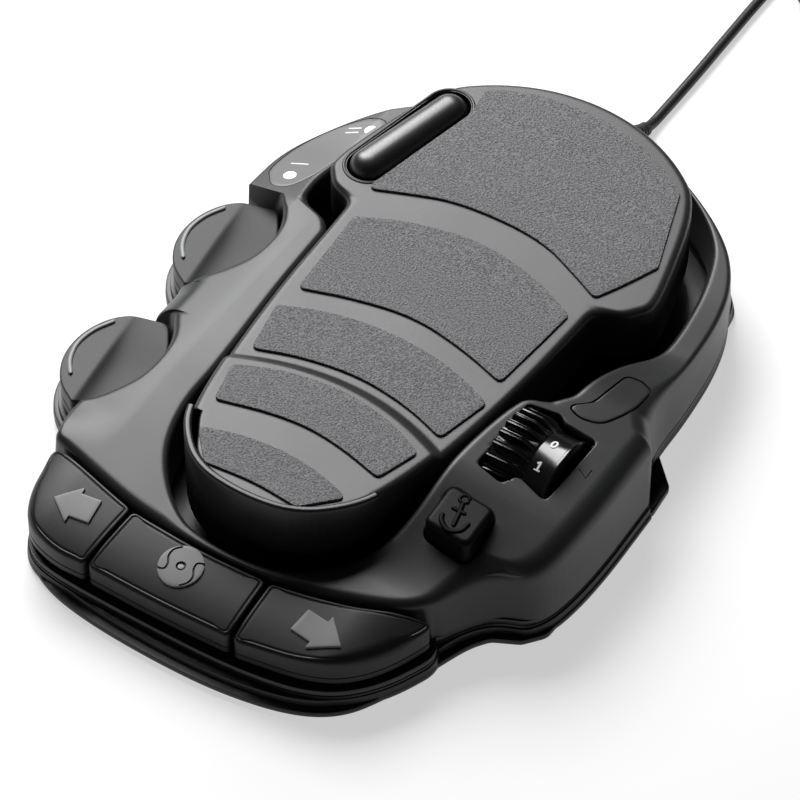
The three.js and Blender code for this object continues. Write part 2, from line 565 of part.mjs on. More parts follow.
// Arrow about the notch behind its head: tip and tail are distances along it
const arrow = (x, y, dir, tip, tail, head, shaft) => outline([
  [x - dir * tip, y, 0.6], [x, y - head, 0.6], [x, y - shaft, 0], [x + dir * tail, y - shaft, 0.6],
  [x + dir * tail, y + shaft, 0.6], [x, y + shaft, 0], [x, y + head, 0.6],
]);
const placed = (points, x, y, turn) => points.map((p) => {
  const c = Math.cos(turn);
  const s = Math.sin(turn);
  return new THREE.Vector2(x + c * (p.x - x) - s * (p.y - y), y + s * (p.x - x) + c * (p.y - y));
});
const arrowSolid = (x, y, dir, turn, ...sizes) => {
  const shape = placed(arrow(x, y, dir, ...sizes), x, y, turn);
  return prism(shape, 10, 60);
};
// A strip of the given width along a path
const strip = (path, width) => {
  const side = (k) => path.map(([x, y], i) => {
    const [ax, ay] = path[Math.max(i - 1, 0)];
    const [bx, by] = path[Math.min(i + 1, path.length - 1)];
    const l = Math.hypot(bx - ax, by - ay);
    return new THREE.Vector2(x + (k * width * (ay - by)) / l / 2, y + (k * width * (bx - ax)) / l / 2);
  });
  return ccw([...side(1), ...side(-1).reverse()]);
};
// Generic propeller sign: a disc, its hub and two curved grooves between the blades
const PROPELLER_AT = [-13.5, -153.2];
const BLADE_GROOVE = [[-4.7, 8.2], [-7.4, 5.5], [-7.7, 2], [-5.8, -1.5], [-5.7, -4.3], [-8, -4.9]];
let propeller = prism(circle(...PROPELLER_AT, 10.4, 28), 10, 60)
  .subtract(prism(circle(...PROPELLER_AT, 2.3, 12), 0, 70));
[1, -1].forEach((turn) => {
  const path = BLADE_GROOVE.map(([x, y]) => [
    PROPELLER_AT[0] + turn * x, PROPELLER_AT[1] + turn * y,
  ]);
  propeller = propeller.subtract(prism(strip(path, 1.3), 0, 70));
});
const lastIs = {
  left: arrowSolid(-72.2, -149.7, 1, 0.12, 11, 10, 9.8, 6.3),
  centre: propeller,
  right: arrowSolid(57.3, -151.8, -1, -0.115, 12.4, 11, 9.6, 6.1),
};
['left', 'centre', 'right'].forEach((side) => {
  const at = SWITCHES[side];
  const z = along(FRONT_TOP, at[1]) - 2;
  const body = button(FRONT_EDGES[side], FRONT_TOP, lastIs[side], 0.9).add(stem(at, z));
  add(`${side}_button`, body, 0x232426, 0.42);
});
const RIB = [[-13.6, 19.5], [-18.7, 9.4], [-20, -1.2], [-16.8, -11], [-11.1, -18.5]];
[['rear_disc', REAR_DISC], ['front_disc', FRONT_DISC]].forEach(([name, [cx, cy]]) => {
  const corners = LENS.map(([a, b, r]) => [cx + a, cy + b, r]);
  const shape = lens([cx, cy]);
  // A shallow valley, slightly turned, that climbs to both sides
  const valley = (x, y) => 26 + 0.17 * (Math.hypot(x - cx + 3 + 0.14 * (y - cy), 4) - 4);
  const cap = (lift) => terrain(cx - 32, cx + 32, cy - 40, cy + 40, 0, 11,
    (x, y) => valley(x, y) + lift);
  let body = prism(shape, BUTTON_Z, 60).intersect(cap(0));
  body = body.subtract(prism(inner(corners), 0, 60).intersect(cap(-3.6)));
  const rib = strip(RIB.map(([x, y]) => [cx + x, cy + y]), 1.9);
  body = body.add(prism(rib, 20, 60).intersect(cap(0.9)));
  body = body.add(stem(SWITCHES[name], 25));
  add(`${name}_button`, body, 0x2b2c2e, 0.45);
});
const ANCHOR_Z = 54;
const anchorButton = loft(grow(ANCHOR, -0.2), [
  [ANCHOR_Z0, 0], [ANCHOR_Z - 2.5, -0.4], [ANCHOR_Z, -2.2],
]);
add('anchor_button', anchorButton, 0x1a1a1b, 0.6);

// Dial: ribbed wheel, number drum, shaft and sensor
let wheel = barX(DIAL_X0, DIAL_XM, DIAL_Y, DIAL_Z, WHEEL_R, 40);
const RIBS = 18;
for (let i = 0; i < RIBS; i += 1) {
  const a = (2 * Math.PI * i) / RIBS;
  const r = WHEEL_R + 0.6;
  const [y, z] = [DIAL_Y + r * Math.cos(a), DIAL_Z + r * Math.sin(a)];
  wheel = wheel.subtract(barX(DIAL_X0 - 1, DIAL_XM - 2, y, z, 2.2, 6));
}
wheel = wheel.subtract(barX(DIAL_X0 - 1, DIAL_XM + 1, DIAL_Y, DIAL_Z, SHAFT_R + RUN));
let drum = barX(DIAL_XM + GAP, DIAL_X1, DIAL_Y, DIAL_Z, DRUM_R, 36)
  .subtract(barX(DIAL_XM, DIAL_X1 + 1, DIAL_Y, DIAL_Z, SHAFT_R + RUN));
add('speed_wheel', wheel, GLOSS, 0.2);
add('number_drum', drum, GLOSS, 0.2);
add('dial_shaft', barX(DIAL_X0 - 0.5, SHAFT_POST_X + 7, DIAL_Y, DIAL_Z, SHAFT_R), 0xb4b6b8, 0.3, 1);
const sensorX = SHAFT_POST_X + 5 + GAP;
add('dial_sensor', box(sensorX, sensorX + 5, DIAL_Y - 7, DIAL_Y + 7, DIAL_Z - 8, DIAL_Z + 5)
  .subtract(barX(sensorX - 1, sensorX + 6, DIAL_Y, DIAL_Z, SHAFT_R + RUN)), 0x1d3c2a, 0.6);

// Inlays and indicator lenses
add('blank_cover', prism(COVER, 30, 90)
  .intersect(terrain(60, 140, -20, 60, 0, 8, deckHeight))
  .subtract(terrain(60, 140, -20, 60, 0, 8, (x, y) => deckHeight(x, y) - 1.6 + GAP)), SHELL_TONE, 0.5);
let label = prism(LABEL, 20, 90)
  .intersect(terrain(-140, -60, 30, 150, 0, 16, deckHeight))
  .subtract(terrain(-140, -60, 30, 150, 0, 16, (x, y) => deckHeight(x, y) - 1.2 + GAP));
LEDS.forEach(([x, y]) => {
  label = label.subtract(barZ(x, y, 20, 60, LED_R + GAP));
});
add('indicator_label', label, 0x4a4b4d, 0.5);
LEDS.forEach(([x, y], i) => {
  const pipe = barZ(x, y, BOARD_Z + BOARD_T + GAP, deckHeight(x, y) - 0.2, LED_R, 16);
  add(`light_pipe_${i + 1}`, pipe, 0xf4f4f4, 0.3);
});

// Circuit boards and switches inside
add('front_board', box(-77, 64, -161, -147, BOARD_Z, BOARD_Z + BOARD_T), 0x0f4a2c, 0.6);
add('side_board', prism(outline([
  [-106, -82, 0], [-92, -82, 0], [-92, 50, 0], [-88, 108, 0], [-88.5, 119, 0], [-95, 119, 0],
  [-110.5, 71, 0], [-106, 45, 0],
]), BOARD_Z, BOARD_Z + BOARD_T), 0x0f4a2c, 0.6);
Object.entries(SWITCHES).forEach(([name, [x, y]]) => {
  const z0 = BOARD_Z + BOARD_T + GAP;
  add(`${name}_switch`, box(x - 3.5, x + 3.5, y - 3.5, y + 3.5, z0, STEM_Z - PRESS - GAP), 0x1c1c1c, 0.5);
});
const ANCHOR_SWITCH_Z = ANCHOR_Z0 - PRESS - GAP;
add('anchor_switch', box(...ANCHOR_AT.flatMap((c) => [c - 3.5, c + 3.5]),
  ANCHOR_POST_Z + GAP, ANCHOR_SWITCH_Z), 0x1c1c1c, 0.5);
const SENSOR_AT = [22, PIVOT_Y + 30];
add('angle_sensor', box(...SENSOR_AT.flatMap((c) => [c - 7, c + 7]),
  FOOT_H + TRAY_T + GAP, FOOT_H + TRAY_T + 4), 0x0f4a2c, 0.6);
add('sensor_magnet', barZ(...SENSOR_AT, MAGNET_Z - 4, MAGNET_Z - GAP, 4), 0x8c8e90, 0.3, 1);

// Cord gland, free stretch, coil and plug
add('cord_gland', barY(1, REAR_Y - 9, REAR_Y + 4, CORD_Z, 5.5)
  .subtract(barY(1, REAR_Y - 10, REAR_Y + 5, CORD_Z, CORD_R + GAP, 20)), 0x101010, 0.8);

const OUT_Y = REAR_Y + 4 + GAP;
const ON_FLOOR = CORD_R + 0.1;
const COIL_X = 0;
const COIL_Y = 372;
const FREE_ROUTE = [
  [1, OUT_Y, CORD_Z], [1, OUT_Y + 6, CORD_Z], [1, 203, 11], [1, 212, 6.2], [1, 222, 3.2],
  [1, 234, ON_FLOOR], [1, 262, ON_FLOOR], [0.5, 290, ON_FLOOR], [0, 318, ON_FLOOR],
  [0, 346, ON_FLOOR], [COIL_X, COIL_Y, ON_FLOOR],
].map((p) => new THREE.Vector3(...p));
add('cord_free', tube(FREE_ROUTE, CORD_R, 8, 34), 0x141414, 0.6);
const COIL_PITCH = 6.5;
const COIL_IN = 26;
const LAYERS = 4;
const TURNS = 4.6625;
const COIL_OUT = COIL_IN + COIL_PITCH * TURNS;
const COIL_AT = [COIL_X + COIL_OUT, COIL_Y + CORD_R * 2 + GAP];
const coilPoint = (phi, r, z) => {
  const a = Math.PI - phi;
  return new THREE.Vector3(COIL_AT[0] + r * Math.cos(a), COIL_AT[1] + r * Math.sin(a), z);
};
const wound = [new THREE.Vector3(COIL_X, COIL_Y + GAP, ON_FLOOR)];
let phi = 0;
for (let layer = 0; layer < LAYERS; layer += 1) {
  const z = ON_FLOOR + layer * COIL_PITCH;
  const from = layer % 2 === 0 ? COIL_OUT : COIL_IN;
  const to = layer % 2 === 0 ? COIL_IN : COIL_OUT;
  const steps = Math.round(TURNS * 24);
  for (let k = 0; k < steps; k += 1) {
    const t = k / steps;
    wound.push(coilPoint(phi + 2 * Math.PI * TURNS * t, from + (to - from) * t, z));
  }
  phi += 2 * Math.PI * TURNS;
  if (layer < LAYERS - 1) {
    for (let k = 0; k < 12; k += 1) {
      wound.push(coilPoint(phi + (Math.PI * k) / 12, to, z + (COIL_PITCH * k) / 12));
    }
    phi += Math.PI;
  }
}
const tailStart = coilPoint(phi, COIL_OUT, ON_FLOOR + (LAYERS - 1) * COIL_PITCH);
const tailWay = new THREE.Vector3(Math.sin(Math.PI - phi), -Math.cos(Math.PI - phi), 0);
const PLUG_R = 8;
const PLUG_Z = PLUG_R + 0.1;
const TAIL = [[0, 1], [14, 1], [27, 0.97], [45, 0.72], [62, 0.3], [78, 0.03], [88, 0], [98, 0]];
const tailPoint = (s, part) => tailStart.clone().addScaledVector(tailWay, s)
  .setZ(PLUG_Z + (tailStart.z - PLUG_Z) * part);
TAIL.forEach(([s, part]) => wound.push(tailPoint(s, part)));
add('cord_coil', tube(wound, CORD_R, 6, wound.length), 0x141414, 0.6);

// Least gap of the coil to itself, and the length of the whole cord
const woundCurve = new THREE.CatmullRomCurve3(wound, false, 'centripetal');
woundCurve.arcLengthDivisions = 4 * wound.length;
const coilLength = woundCurve.getLength();
const spots = woundCurve.getSpacedPoints(Math.round(coilLength / 2.5));
let least = Infinity;
for (let i = 0; i < spots.length; i += 1) {
  for (let j = i + 6; j < spots.length; j += 1) {
    least = Math.min(least, spots[i].distanceTo(spots[j]));
  }
}
const freeLength = new THREE.CatmullRomCurve3(FREE_ROUTE, false, 'centripetal').getLength();
const cordLength = (freeLength + coilLength).toFixed(0);
console.log('coil gap', (least - 2 * CORD_R).toFixed(2), 'cord length', cordLength);

// Plug at the far end: a round shell with a pinned insert, along the tail
const turned = (profile, sides) => {
  const points = profile.map(([x, r]) => new THREE.Vector2(r, x));
  return new THREE.LatheGeometry(points, sides).rotateZ(-Math.PI / 2);
};
const toTail = (geometry) => {
  const end = tailPoint(98 + GAP, 0);
  geometry.rotateZ(Math.atan2(tailWay.y, tailWay.x)).translate(end.x, end.y, end.z);
  return geometry;
};
const plugShell = turned([
  [0, 0], [0, 4.2], [14, 5.6], [14, PLUG_R], [40, PLUG_R], [40, 6.4], [24, 6.4], [24, 0],
], 20);
add('cord_plug', solid(toTail(plugShell)), 0x161616, 0.5);
let insert = solid(turned([[24 + GAP, 0], [24 + GAP, 6.1], [30, 6.1], [30, 0]], 20));
for (let k = 0; k < 5; k += 1) {
  const a = (2 * Math.PI * k) / 5;
  insert = insert.add(barX(29, 37, 3.6 * Math.cos(a), 3.6 * Math.sin(a), 0.8, 6));
}
add('plug_insert', toTail(geometryOf(insert)), 0xc2a24a, 0.3, 1);

const group = new THREE.Group();
group.name = 'trolling_motor_foot_control';
pieces.forEach((piece) => group.add(piece));
let total = 0;
group.children.forEach((m) => {
  total += (m.geometry.index ? m.geometry.index.count : m.geometry.attributes.position.count) / 3;
});
console.log('nodes', pieces.length, 'triangles', total);
export default group;
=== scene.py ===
# Looks of a trolling motor's corded foot control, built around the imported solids.
import math

import bmesh
import bpy
import numpy as np
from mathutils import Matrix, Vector


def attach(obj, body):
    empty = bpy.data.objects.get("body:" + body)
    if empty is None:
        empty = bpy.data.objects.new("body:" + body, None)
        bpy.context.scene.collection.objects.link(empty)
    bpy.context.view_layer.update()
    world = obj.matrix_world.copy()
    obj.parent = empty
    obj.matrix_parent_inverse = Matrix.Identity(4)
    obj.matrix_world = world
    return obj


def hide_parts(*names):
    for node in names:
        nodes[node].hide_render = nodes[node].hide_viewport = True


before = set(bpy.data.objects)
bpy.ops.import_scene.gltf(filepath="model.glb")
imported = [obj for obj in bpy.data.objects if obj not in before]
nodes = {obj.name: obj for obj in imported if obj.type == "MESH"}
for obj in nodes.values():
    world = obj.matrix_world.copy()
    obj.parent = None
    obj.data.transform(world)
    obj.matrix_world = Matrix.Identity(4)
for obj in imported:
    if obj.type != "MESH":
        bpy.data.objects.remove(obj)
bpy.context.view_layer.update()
scene = bpy.context.scene
MM = 0.001

# Camera: a long lens from the heel side, a little to the right and well above the floor.
CAMERA_AZ = math.radians(33)
CAMERA_EL = math.radians(47)
CAMERA_AT = Vector((26.6, -42.55, 54.3)) * MM
CAMERA_FAR = 1.98
back = Vector((math.sin(CAMERA_AZ) * math.cos(CAMERA_EL),
               -math.cos(CAMERA_AZ) * math.cos(CAMERA_EL), math.sin(CAMERA_EL)))
lens = bpy.data.cameras.new("camera")
lens.sensor_width = 36
lens.lens = 202.5
lens.clip_end = 20
camera = bpy.data.objects.new("camera", lens)
camera.location = CAMERA_AT + back * CAMERA_FAR
camera.rotation_euler = back.to_track_quat("Z", "Y").to_euler()
scene.collection.objects.link(camera)
scene.camera = camera
scene.view_settings.view_transform = "Standard"


# Cord: a round 5.3 mm jacketed lead, 5.45 m long. It leaves the gland in the rear wall, drops to
# the floor and runs straight back, and the length that the view leaves out is wound in four
# layers. A heavy round plug ends it.
class Sock:
    """A shader socket with arithmetic: an expression on it adds Math nodes."""

    def __init__(self, tree, socket):
        self.tree = tree
        self.socket = socket

    def math(self, operation, other):
        return self.tree.make("ShaderNodeMath", {"operation": operation}, {0: self, 1: other})[0]

    def __add__(self, other):
        return self.math("ADD", other)

    def __mul__(self, other):
        return self.math("MULTIPLY", other)

    __radd__, __rmul__ = __add__, __mul__


class Tree:
    """One material's nodes; make() adds a node from its type, settings and socket values."""

    def __init__(self, name):
        self.material = bpy.data.materials.new(name)
        self.material.use_nodes = True
        self.nodes = self.material.node_tree.nodes
        self.links = self.material.node_tree.links
        self.shader = self.nodes["Principled BSDF"]

    def make(self, kind, settings=None, values=None):
        node = self.nodes.new(kind)
        for key, value in (settings or {}).items():
            setattr(node, key, value)
        for key, value in (values or {}).items():
            self.put(node.inputs[key], value)
        return [Sock(self, s) for s in node.outputs if s.enabled]

    def put(self, into, value):
        if isinstance(value, Sock):
            self.links.new(value.socket, into)
        else:
            into.default_value = value

    def set(self, **values):
        for key, value in values.items():
            self.put(self.shader.inputs[key.replace("_", " ")], value)

    def noise(self, scale, detail=2.0, roughness=0.5):
        """Noise on Object coordinates; the scale counts features per metre."""
        where = self.make("ShaderNodeTexCoord")[3]
        return self.make("ShaderNodeTexNoise", {}, {
            "Vector": where, "Scale": scale, "Detail": detail, "Roughness": roughness})[0]

    def widened(self, amount, low, high):
        """The amounts from low to high spread over 0 to 1."""
        return self.make("ShaderNodeMapRange", {}, {0: amount, 1: low, 2: high})[0]

    def tone(self, amount, dark, light):
        return self.make("ShaderNodeMix", {"data_type": "RGBA", "clamp_factor": True},
                         {0: amount, 6: (*dark, 1), 7: (*light, 1)})[-1]

    def bump(self, height, strength, distance):
        return self.make("ShaderNodeBump", {}, {"Height": height, "Strength": strength,
                                                "Distance": distance * MM})[0]


def grained(name, dark, light, rough, grain=1400, depth=0.03, strength=0.2, mottle=25, metal=0.0,
            shine=0.32):
    """Moulded plastic or rubber: a fine spark-eroded grain, faint mottling and a roughness that
    follows the grain. The mottling runs from dark to light; shine is the specular level."""
    t = Tree(name)
    fine = t.noise(grain, 3, 0.6)
    broad = t.noise(mottle, 3, 0.55)
    t.set(Base_Color=t.tone(t.widened(broad * 0.7 + fine * 0.3, 0.35, 0.65), dark, light),
          Roughness=rough - 0.1 + 0.12 * fine + 0.08 * broad,
          Normal=t.bump(fine, strength, depth), Metallic=metal)
    t.shader.inputs["Specular IOR Level"].default_value = shine
    return t.material


def unit(vectors):
    """Each row scaled to length 1."""
    return vectors / np.linalg.norm(vectors, axis=1)[:, None]


def tube_rings(centre, side, up, radius, sides):
    """Rings of a tube: round each path point one of radius r in the plane of side and up, with
    point = centre + r (cos a side + sin a up)."""
    a = np.linspace(0, 2 * np.pi, sides, endpoint=False)
    ring = np.cos(a)[None, :, None] * side[:, None, :] + np.sin(a)[None, :, None] * up[:, None, :]
    radius = np.broadcast_to(np.asarray(radius), (len(centre),))[:, None, None]
    return centre[:, None, :] + radius * ring


def mesh_object(name, points, faces, smooth=True, angle=None):
    """A mesh in metres from points in millimetres, its faces turned outwards where it is closed.
    Edges sharper than the angle, in degrees, stay crisp."""
    data = bpy.data.meshes.new(name)
    data.from_pydata((np.asarray(points, float).reshape(-1, 3) * MM).tolist(), [],
                     [list(map(int, f)) for f in faces])
    work = bmesh.new()
    work.from_mesh(data)
    bmesh.ops.remove_doubles(work, verts=work.verts, dist=1e-7)
    bmesh.ops.dissolve_degenerate(work, edges=work.edges, dist=1e-8)
    bmesh.ops.recalc_face_normals(work, faces=work.faces)
    if work.calc_volume(signed=True) < 0:
        bmesh.ops.reverse_faces(work, faces=work.faces)
    work.to_mesh(data)
    work.free()
    data.polygons.foreach_set("use_smooth", np.full(len(data.polygons), smooth))
    if angle:
        data.set_sharp_from_angle(angle=math.radians(angle))
    piece = bpy.data.objects.new(name, data)
    scene.collection.objects.link(piece)
    return piece


def grid_faces(rows, columns, wrap_rows=True, wrap_columns=False):
    """Quads of a rows by columns grid of points; wrapping joins the last line to the first."""
    i = np.arange(rows if wrap_rows else rows - 1)
    j = np.arange(columns if wrap_columns else columns - 1)
    i, j = np.meshgrid(i, j, indexing="ij")
    i, j = i.ravel(), j.ravel()
    i2, j2 = (i + 1) % rows, (j + 1) % columns
    return np.stack([i * columns + j, i2 * columns + j, i2 * columns + j2, i * columns + j2], 1)


def wear(piece, material, body, slot, *replaced):
    """Gives a piece its material, its CAD body and the nodes it stands for, which are hidden. The
    slot, its record slot, is not used.
    """
    piece.data.materials.clear()
    piece.data.materials.append(material)
    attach(piece, body)
    if replaced:
        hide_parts(*replaced)


CORD_R = 2.65
SHIFT_X, SHIFT_Y = 2.4, -5.15
OUT_Y = 188.05
ON_FLOOR = CORD_R + 0.1
FREE_ROUTE = [
    (1, OUT_Y, 14), (1, OUT_Y + 6, 14), (1, 203, 11), (1, 212, 6.2), (1, 222, 3.2),
    (1, 234, ON_FLOOR), (1, 262, ON_FLOOR), (0.5, 290, ON_FLOOR), (0, 318, ON_FLOOR),
    (0, 346, ON_FLOOR), (0, 372, ON_FLOOR),
]
COIL_PITCH, COIL_IN, LAYERS, TURNS = 6.5, 26, 4, 4.6625
COIL_OUT = COIL_IN + COIL_PITCH * TURNS
COIL_AT = (COIL_OUT, 372 + CORD_R * 2 + 0.3)
TAIL = [(0, 1), (14, 1), (27, 0.97), (45, 0.72), (62, 0.3), (78, 0.03), (88, 0), (98, 0)]
PLUG_Z = 8.1


def catmull(points, per):
    """Centripetal Catmull-Rom: each span is a cubic through its two middle points, with knots
    spaced by the square root of the distance, so a bend never overshoots."""
    p = np.asarray(points, float)
    p = np.vstack([2 * p[0] - p[1], p, 2 * p[-1] - p[-2]])
    spans = []
    for a, b, c, d in zip(p[:-3], p[1:-2], p[2:-1], p[3:]):
        steps = [np.linalg.norm(v - u) for u, v in ((a, b), (b, c), (c, d))]
        k = np.cumsum([0, *np.sqrt(steps)])
        t = np.linspace(k[1], k[2], per, endpoint=False)[:, None]

        def mix(u, v, s, e):
            return ((e - t) * u + (t - s) * v) / (e - s)

        one, two, three = mix(a, b, k[0], k[1]), mix(b, c, k[1], k[2]), mix(c, d, k[2], k[3])
        spans.append(mix(mix(one, two, k[0], k[2]), mix(two, three, k[1], k[3]), k[1], k[2]))
    return np.vstack([*spans, p[-2][None]])


def coil_path():
    """Spiral turns: radius runs linearly from outside to inside and back in each layer, the
    angle runs on, and in the half turn where the spiral reverses the cord climbs one layer."""
    parts, phi = [], 0.0
    for layer in range(LAYERS):
        z = ON_FLOOR + layer * COIL_PITCH
        start, end = (COIL_OUT, COIL_IN) if layer % 2 == 0 else (COIL_IN, COIL_OUT)
        t = np.linspace(0, 1, int(TURNS * 60), endpoint=False)
        parts.append((phi + 2 * np.pi * TURNS * t, start + (end - start) * t, np.full_like(t, z)))
        phi += 2 * np.pi * TURNS
        if layer < LAYERS - 1:
            t = np.linspace(0, 1, 30, endpoint=False)
            parts.append((phi + np.pi * t, np.full_like(t, end), z + COIL_PITCH * t))
            phi += np.pi
    angle, radius, height = (np.concatenate(c) for c in zip(*parts))
    turn = np.pi - angle
    points = np.stack([COIL_AT[0] + radius * np.cos(turn), COIL_AT[1] + radius * np.sin(turn),
                       height], 1)
    last = np.pi - phi
    way = np.array([math.sin(last), -math.cos(last)])
    start = np.array(COIL_AT) + COIL_OUT * np.array([math.cos(last), math.sin(last)])
    top = ON_FLOOR + (LAYERS - 1) * COIL_PITCH
    tail = np.array([[*(start + way * s), PLUG_Z + (top - PLUG_Z) * part] for s, part in TAIL])
    return points, catmull(tail, 8), way


coil, tail, plug_way = coil_path()
route = np.vstack([catmull(FREE_ROUTE, 10), coil[3:], tail]) + [SHIFT_X, SHIFT_Y, 0]


def level_frame(path):
    """Side and up vectors along a path that is never upright; the side one is level."""
    along = unit(np.gradient(path, axis=0))
    side = unit(np.cross(along, [0, 0, 1.0]))
    return side, np.cross(side, along)


def round_tube(path, radius, sides):
    """Points and faces of a round tube along a path, closed at both ends by a fan."""
    rings = tube_rings(path, *level_frame(path), radius, sides)
    points = np.vstack([rings.reshape(-1, 3), path[:1], path[-1:]])
    faces = list(grid_faces(len(path), sides, False, True))
    n = len(path) * sides
    k = np.arange(sides)
    faces += list(np.stack([np.full(sides, n), (k + 1) % sides, k], 1))
    faces += list(np.stack([np.full(sides, n + 1), n - sides + k, n - sides + (k + 1) % sides], 1))
    return points, faces


points, faces = round_tube(route, CORD_R, 14)
cord = mesh_object("cord", points, faces)
jacket = grained("cord_jacket", (0.012, 0.012, 0.013), (0.02, 0.02, 0.021), 0.42, 900, 0.03,
                 0.25, 60)
wear(cord, jacket, "base", "cord_jacket", "cord_free", "cord_coil")


# Plug: a black plastic shell moulded on the cord's end, with grooves round its grip collar, and
# inside it an insert with metal pins, which the solids already draw.
def turned(profile, sides=64):
    """A lathe about +X: each profile point (x, r) sweeps a circle; ends on the axis close it."""
    p = np.asarray(profile, float)
    a = np.linspace(0, 2 * np.pi, sides, endpoint=False)
    x = np.broadcast_to(p[:, 0], (sides, len(p)))
    r = p[:, 1][None]
    return np.stack([x, r * np.cos(a)[:, None], r * np.sin(a)[:, None]], 2)


def finish(material, *names):
    """Gives solids that stay as they are their finish."""
    for name in names:
        nodes[name].data.materials.clear()
        nodes[name].data.materials.append(material)


tail_end = np.array([*(tail[-1][:2] + plug_way * 0.3), PLUG_Z]) + [SHIFT_X, SHIFT_Y, 0]


def on_tail(points):
    """Turns points made along +X to the cord's far end."""
    p = np.asarray(points, float).reshape(-1, 3)
    wx, wy = plug_way
    x, y, z = p.T
    return np.stack([wx * x - wy * y, wy * x + wx * y, z], 1) + tail_end


grip = turned([
    (0, 0), (0, 3.9), (0.4, 4.2), (13.4, 5.4), (14, 5.8), (14, 7.4), (14.6, 8), (17, 8),
    (17.5, 7.6), (18.5, 7.6), (19, 8), (21, 8), (21.5, 7.6), (22.5, 7.6), (23, 8), (25, 8),
    (25.5, 7.6), (26.5, 7.6), (27, 8), (39.2, 8), (40, 7.4), (40, 6.7), (39.7, 6.4), (24, 6.4),
    (24, 0)])
plug = mesh_object("plug_grip", on_tail(grip), grid_faces(*grip.shape[:2]), angle=50)
plug_plastic = grained("plug_plastic", (0.014, 0.014, 0.015), (0.022, 0.022, 0.023), 0.38,
                       depth=0.05, strength=0.35)
wear(plug, plug_plastic, "base", "plug_shell", "cord_plug")
brass = grained("pin_metal", (0.6, 0.46, 0.17), (0.72, 0.57, 0.25), 0.26, 600, 0.01, 0.1,
                metal=1.0)
finish(brass, "plug_insert")

# Floor and light: a pale floor under a broad lamp from the rear left, as in a product photograph.
floor_tree = Tree("floor_white")
floor_tree.set(Base_Color=(0.47, 0.47, 0.47, 1), Roughness=0.9, Emission_Color=(1, 1, 1, 1),
               Emission_Strength=0.56)
FLOOR = 7000
CORNERS = [(-FLOOR, -FLOOR, 0), (FLOOR, -FLOOR, 0), (FLOOR, FLOOR, 0), (-FLOOR, FLOOR, 0)]
floor = mesh_object("floor", CORNERS, [(0, 1, 2, 3)])
floor.data.materials.append(floor_tree.material)
LAMP_AT, LAMP_AIM = Vector((-0.78, 0.65, 1.01)), Vector((0, 0, 0.03))
LAMP_SIZE, LAMP_WATTS, SKY = (0.92, 0.88), 37, 0.04
light = bpy.data.lights.new("rear_left", "AREA")
light.shape = "RECTANGLE"
light.size, light.size_y = LAMP_SIZE
light.energy = LAMP_WATTS
stand = bpy.data.objects.new("rear_left", light)
stand.location = LAMP_AT
stand.rotation_euler = (LAMP_AT - LAMP_AIM).to_track_quat("Z", "Y").to_euler()
scene.collection.objects.link(stand)
world = bpy.data.worlds.new("studio")
scene.world = world
world.use_nodes = True
sky = world.node_tree.nodes["Background"]
sky.inputs[0].default_value = (1, 1, 1, 1)
sky.inputs[1].default_value = SKY

# Housing: a charcoal moulded shell with a well for the treadle, scooped bays for the two round
# buttons, a shelf for the indicators and a pod for the dial. Screws from below hold it on the tray.
SEAM_Z, LIP_Z, WALL = 9.3, 12.0, 2.5
HEEL_END, TOE_END = -84.0, 108.0
SHELL = [
    (-103, -123, 5), (-72, -132, 60), (-47, -138, 60), (-13, -140.5, 60), (24, -139.5, 60),
    (56, -133.5, 60), (88, -120, 14), (99, -97, 14), (108, -88, 14), (124, -82, 16),
    (129, -48, 60), (127, 8, 3), (118, 20, 8), (114.5, 36, 40), (114, 62, 60), (110.5, 95, 60),
    (102.5, 121.5, 50), (86.5, 143.5, 50), (60, 161.75, 60), (32, 175.75, 60), (0, 185.75, 70),
    (-36, 176.75, 60), (-68, 156, 60), (-92, 134, 60), (-109.5, 110, 50), (-121, 84, 40),
    (-120.5, 55, 5), (-113, 30, 20), (-112.5, -20, 20), (-113, -60, 20), (-108, -100, 20),
]
FRONT = [
    (-99.5, -122, 6), (-96, -146, 30), (-87.5, -165, 18), (-71, -172.5, 30), (-13, -174, 90),
    (30, -173.5, 60), (66, -167, 30), (86, -148, 26), (98, -118, 12), (60, -100, 0), (-60, -100, 0),
]
LENS = [(8, 33.5, 6), (-14, 27, 16), (-24, 10, 16), (-24, -9, 16), (-15, -25, 14), (-1, -33.5, 3),
        (12, -21, 20), (21, -4, 20), (20, 16, 16)]
DISCS = {"rear_disc": (-110.5, 22), "front_disc": (-111, -66)}


def across(row):
    """A row of outline points from one side to the middle, and on to its mirror image."""
    return row + [(-x, y, r) for x, y, r in row[-2::-1]]


TREADLE = [(0, -126, 60)] + across([
    (26, -122, 40), (44, -104, 30), (51, -86, 30), (58, -50, 80), (63.5, 0, 80), (65.5, 48, 6),
    (66, 59, 8), (79, 64, 12), (87, 74, 10), (86, 88, 20), (71, 142, 14), (50, 159, 40),
    (26, 169.5, 60), (0, 173, 70)])
WELL = [
    (0, -138, 70), (28, -133, 50), (50, -114, 34), (61, -88, 30), (62, -52, 60), (65, -22, 20),
    (69, -6, 10), (79, -0.5, 8), (85.5, 9, 12), (87.5, 27, 30), (91, 44, 20), (99.5, 60, 24),
    (99, 78, 24), (93, 112, 50), (82, 140, 40), (60, 160, 50), (30, 175, 60), (0, 180, 70),
    (-30, 176, 60), (-58, 162, 40), (-76, 144, 30), (-84, 112, 40), (-93, 76, 16),
    (-90, 57, 10), (-74, 51, 12), (-69, 44, 8), (-67, 0, 80), (-62, -52, 60), (-63, -80, 30),
    (-54, -108, 34), (-30, -132, 50),
]


